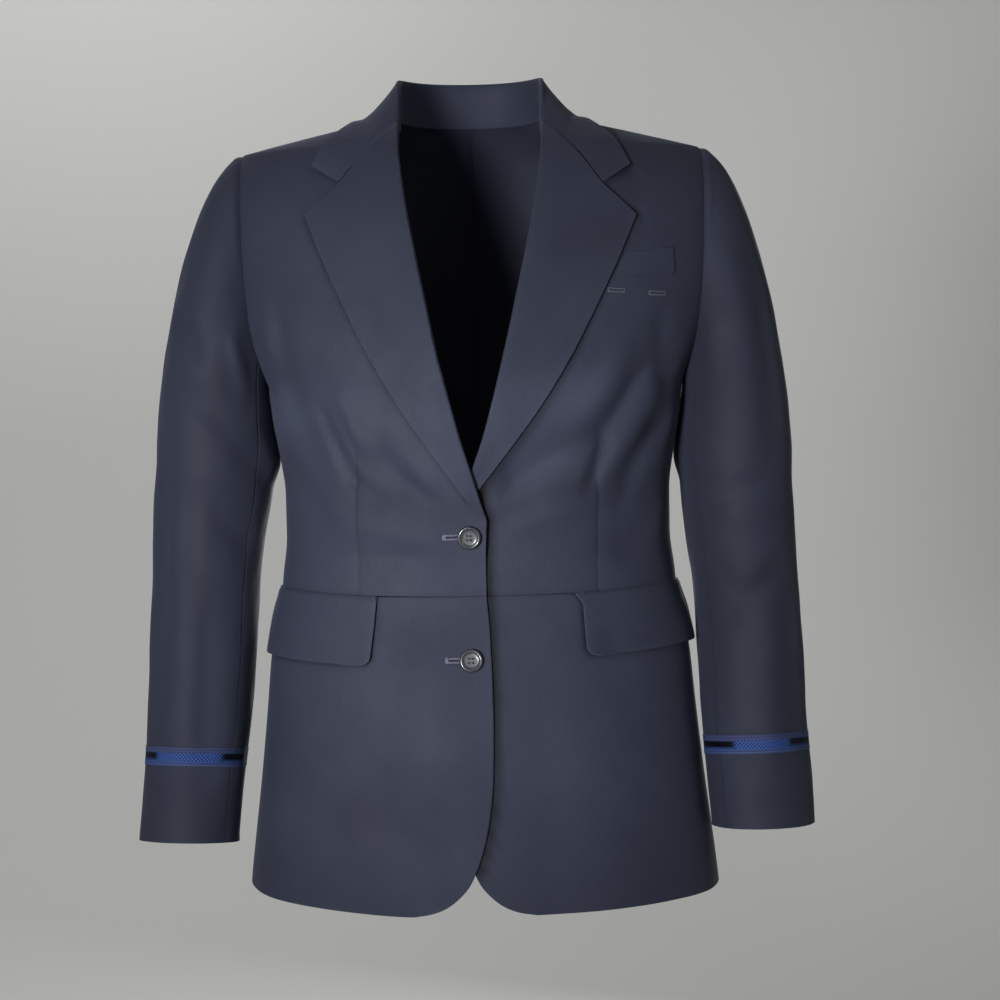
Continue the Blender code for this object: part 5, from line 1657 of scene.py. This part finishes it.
def finish_strands(name, shape, material):
    bmesh.ops.recalc_face_normals(shape, faces=shape.faces[:])
    mesh = bpy.data.meshes.new(name)
    shape.to_mesh(mesh)
    shape.free()
    mesh.shade_smooth()
    return mesh_object(name, mesh, material)


def cloth_spot(side, x, z, out):
    points, normals = front_surface(side, np.array([x]), np.array([z]), np.array([out]))
    return Vector(points[0]), Vector(normals[0])


def arched_stitch(side, start, end, lift, count=5):
    points = []
    for k in range(count):
        t = k / (count - 1)
        x = lerp(start[0], end[0], t)
        z = lerp(start[1], end[1], t)
        points.append(cloth_spot(side, x, z, 0.0001 + lift * math.sin(math.pi * t))[0])
    return points


def sewn_hole(name, side, x, z, length, tilt, half_height, material, bar):
    # A worked buttonhole: close stitches along both sides of a slit, and a bar at each end, one broader
    shape = bmesh.new()
    pitch = 0.00052
    count = int(length / pitch)
    along = (math.cos(tilt), math.sin(tilt))
    aside = (-math.sin(tilt), math.cos(tilt))
    slit = 0.0011

    def spot(a, b):
        return (x + along[0] * a + aside[0] * b, z + along[1] * a + aside[1] * b)

    for i in range(count + 1):
        a = i * length / count
        wobble = 0.00006 * math.sin(i * 2.4)
        for sign in (-1.0, 1.0):
            start = spot(a, sign * slit)
            end = spot(a, sign * (half_height + wobble))
            add_strand(shape, arched_stitch(side, start, end, 0.00035), 0.00024)
    for sign in (-1.0, 1.0):
        ridge = [cloth_spot(side, *spot(length * k / 24.0, sign * (slit + 0.0001)), 0.0005)[0] for k in range(25)]
        add_strand(shape, ridge, 0.00022)
    for end_place, breadth in ((-0.0002, 0.0), (length + 0.0002, bar)):
        for k in range(2 + int(breadth / 0.0004)):
            shift = end_place + (k - 0.5) * 0.00040
            start = spot(shift, -half_height - 0.12 * breadth)
            end = spot(shift, half_height + 0.12 * breadth)
            add_strand(shape, arched_stitch(side, start, end, 0.00050, 7), 0.00026)
    return finish_strands(name, shape, material)


def button(name, height):
    place, normal = cloth_spot(-1, -float(closing_x(height)), height, 0.0004)
    shape = bmesh.new()
    segments = 72
    rings = []
    for radius, rise in BUTTON_PROFILE:
        if radius == 0.0:
            rings.append([shape.verts.new((0.0, 0.0, rise))])
            continue
        ring = []
        for i in range(segments):
            angle = 2.0 * math.pi * i / segments
            ring.append(shape.verts.new((radius * math.cos(angle), radius * math.sin(angle), rise)))
        rings.append(ring)
    for above, below in zip(rings, rings[1:]):
        for i in range(segments):
            j = (i + 1) % segments
            if len(above) == 1:
                shape.faces.new((above[0], below[i], below[j]))
            elif len(below) == 1:
                shape.faces.new((above[i], below[0], above[j]))
            else:
                shape.faces.new((above[i], below[i], below[j], above[j]))
    bmesh.ops.recalc_face_normals(shape, faces=shape.faces[:])
    for face in shape.faces:
        middle = face.calc_center_median()
        face.material_index = 1 if math.hypot(middle.x, middle.y) > BUTTON_FACE else 0
    mesh = bpy.data.meshes.new(name + "_fine")
    shape.to_mesh(mesh)
    shape.free()
    thing = mesh_object(name + "_fine", mesh, BUTTON)
    mesh.materials.append(BUTTON_RIM)
    cutter_shape = bmesh.new()
    for i in range(4):
        angle = math.radians(45 + 90 * i)
        made = bmesh.ops.create_cone(cutter_shape, cap_ends=True, segments=24, radius1=HOLE_RADIUS,
                                     radius2=HOLE_RADIUS, depth=0.012)
        shift = Vector((HOLE_SPREAD * math.cos(angle), HOLE_SPREAD * math.sin(angle), 0.001))
        bmesh.ops.translate(cutter_shape, verts=made["verts"], vec=shift)
    cutter_mesh = bpy.data.meshes.new("holes")
    cutter_shape.to_mesh(cutter_mesh)
    cutter_shape.free()
    cutter = bpy.data.objects.new("holes", cutter_mesh)
    bpy.context.scene.collection.objects.link(cutter)
    cut = thing.modifiers.new("holes", "BOOLEAN")
    cut.operation = "DIFFERENCE"
    cut.solver = "EXACT"
    cut.object = cutter
    bpy.context.view_layer.update()
    done = bpy.data.meshes.new_from_object(thing.evaluated_get(bpy.context.evaluated_depsgraph_get()))
    thing.modifiers.clear()
    bpy.data.objects.remove(cutter, do_unlink=True)
    turn = normal.to_track_quat("Z", "Y").to_matrix().to_4x4()
    move = Matrix.Translation(place) @ turn
    done.transform(move)
    done.shade_smooth()
    done.set_sharp_from_angle(angle=math.radians(45))
    thing.data = done
    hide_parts(name)
    # Two pairs of threads through the four holes
    threads = bmesh.new()
    half_way = HOLE_SPREAD * math.cos(math.radians(45))
    for row in (-1, 1):
        for k in (-1, 0, 1):
            path = []
            for step in range(9):
                t = step / 8.0
                reach = lerp(-half_way, half_way, t)
                rise = 0.0008 + 0.0015 * math.sin(math.pi * t) ** 0.5
                path.append(move @ Vector((reach, row * half_way + 0.0003 * k, rise)))
            add_strand(threads, path, 0.00020)
    finish_strands(name + "_thread", threads, DARK_THREAD)
    return thing


def lint(name):
    shape = bmesh.new()
    for side, x, z, size, turn in LINT:
        points = []
        for k in range(6):
            t = k / 5.0 - 0.5
            a = size * t * math.cos(turn) + 0.0002 * math.sin(t * 9.0)
            b = size * t * math.sin(turn)
            points.append(cloth_spot(side, x + a, z + b, 0.0002)[0])
        add_strand(shape, points, 0.00016, 5)
    return finish_strands(name, shape, PALE_THREAD)


def hem_stitches():
    # Bar tacks that hold each flap's inner end to the waist seam
    shape = bmesh.new()
    for side in (-1, 1):
        for k in range(4):
            x = FLAP_INNER_X + 0.0010
            z = float(waist_z(x)) - 0.0010 - 0.0005 * k
            points = [cloth_spot(side, x + step * 0.0006, z, LIE_GAP + WALL + 0.0001)[0] for step in range(4)]
            add_strand(shape, points, 0.00018, 5)
    return finish_strands("flap_tacks", shape, DARK_THREAD)


# Stage, light and camera


def stage():
    # One sheet: a floor below the jacket that curves up into a backdrop
    floor_z = -1.45
    back_y = 3.4
    bend = 1.2
    profile = [(-6.0, floor_z), (back_y - bend, floor_z)]
    for k in range(1, 13):
        angle = math.radians(90.0 * k / 12.0)
        profile.append((back_y - bend + bend * math.sin(angle), floor_z + bend * (1.0 - math.cos(angle))))
    profile.append((back_y, 4.0))
    shape = bmesh.new()
    lines = []
    for x in (-6.0, 6.0):
        lines.append([shape.verts.new((x, y, z)) for y, z in profile])
    for i in range(len(profile) - 1):
        shape.faces.new((lines[0][i], lines[1][i], lines[1][i + 1], lines[0][i + 1]))
    mesh = bpy.data.meshes.new("studio")
    shape.to_mesh(mesh)
    shape.free()
    mesh.shade_smooth()
    mesh.materials.append(stage_material("studio_pale", (0.62, 0.62, 0.60)))
    thing = bpy.data.objects.new("studio", mesh)
    bpy.context.scene.collection.objects.link(thing)


def area_light(name, place, target, size, power, colour=(1.0, 1.0, 1.0), spread=180.0):
    data = bpy.data.lights.new(name, "AREA")
    data.shape = "SQUARE"
    data.size = size
    data.energy = power
    data.spread = math.radians(spread)
    data.color = colour
    thing = bpy.data.objects.new(name, data)
    bpy.context.scene.collection.objects.link(thing)
    thing.location = place
    thing.rotation_euler = (Vector(target) - Vector(place)).to_track_quat("-Z", "Y").to_euler()


def lights():
    area_light("key", (-1.00, -2.25, -0.42), (0.02, 0.0, -0.32), 0.6, 3.1, (0.98, 0.99, 1.0), 29.0)
    area_light("fill", (1.6, -2.6, 0.0), (0.0, 0.0, -0.3), 1.6, 7.0, (1.0, 0.98, 0.94))
    area_light("top", (-0.3, 0.1, 1.9), (0.0, 0.3, -0.3), 1.6, 3.0)
    area_light("backdrop", (-0.9, 1.6, 1.6), (-0.7, 3.4, -0.4), 1.6, 36.0)
    area_light("back", (0.5, 2.5, -0.1), (0.0, 0.0, -0.3), 1.4, 28.0)
    world = bpy.data.worlds.new("soft")
    world.use_nodes = True
    background = world.node_tree.nodes["Background"]
    background.inputs["Color"].default_value = (0.96, 0.98, 1.0, 1.0)
    background.inputs["Strength"].default_value = 0.22
    bpy.context.scene.world = world
    bpy.context.scene.view_settings.view_transform = "Standard"
    bpy.context.scene.view_settings.look = "None"
    bpy.context.scene.view_settings.exposure = 0.0


def camera():
    data = bpy.data.cameras.new("camera")
    data.sensor_width = 36.0
    data.lens = 88.99
    thing = bpy.data.objects.new("camera", data)
    bpy.context.scene.collection.objects.link(thing)
    thing.location = (0.0197, -2.1999, -0.2995)
    tilt = Matrix.Rotation(math.radians(90.0 - 1.043), 3, "X")
    roll = Matrix.Rotation(math.radians(-1.1), 3, "Z")
    thing.rotation_euler = (tilt @ roll).to_euler()
    bpy.context.scene.camera = thing


camera()
lights()
stage()

CLOTH = cloth_material("navy_worsted")
BRAID = braid_material("blue_braid")
BUTTON = button_material("dark_resin", BUTTON_COLOUR)
BUTTON_RIM = button_material("dark_resin_rim", BUTTON_RIM_COLOUR)
DARK_THREAD = thread_material("navy_thread", THREAD_DARK)
LILAC_THREAD = thread_material("lilac_thread", THREAD_LILAC)
PALE_THREAD = thread_material("pale_thread", THREAD_PALE)

for side, word in ((1, "left"), (-1, "right")):
    front_panel(side, "front_" + word)
    skirt_panel(side, "skirt_" + word)
    back_panel(side, "back_" + word)
    sleeve_pair(side, "upper_sleeve_" + word, "under_sleeve_" + word)
    braid_band(side, "braid_" + word)
    lapel(side, "lapel_" + word)
    flap(side, "flap_" + word)
collar("collar")
welt(1, "breast_welt")
button("button_top", BUTTON_HEIGHTS[0])
button("button_bottom", BUTTON_HEIGHTS[1])
for number, height in enumerate(BUTTON_HEIGHTS):
    sewn_hole("buttonhole_%d" % (number + 1), -1, BUTTONHOLE_LEFT - BUTTONHOLE_LENGTH, height + 0.0004,
              BUTTONHOLE_LENGTH, 0.0, 0.0025, LILAC_THREAD, 0.0022)
for number, (x, z, length, tilt) in enumerate(EYELETS):
    sewn_hole("eyelet_%d" % (number + 1), 1, x, z, length, math.radians(tilt), 0.0020, PALE_THREAD, 0.0)
lint("lint")
hem_stitches()
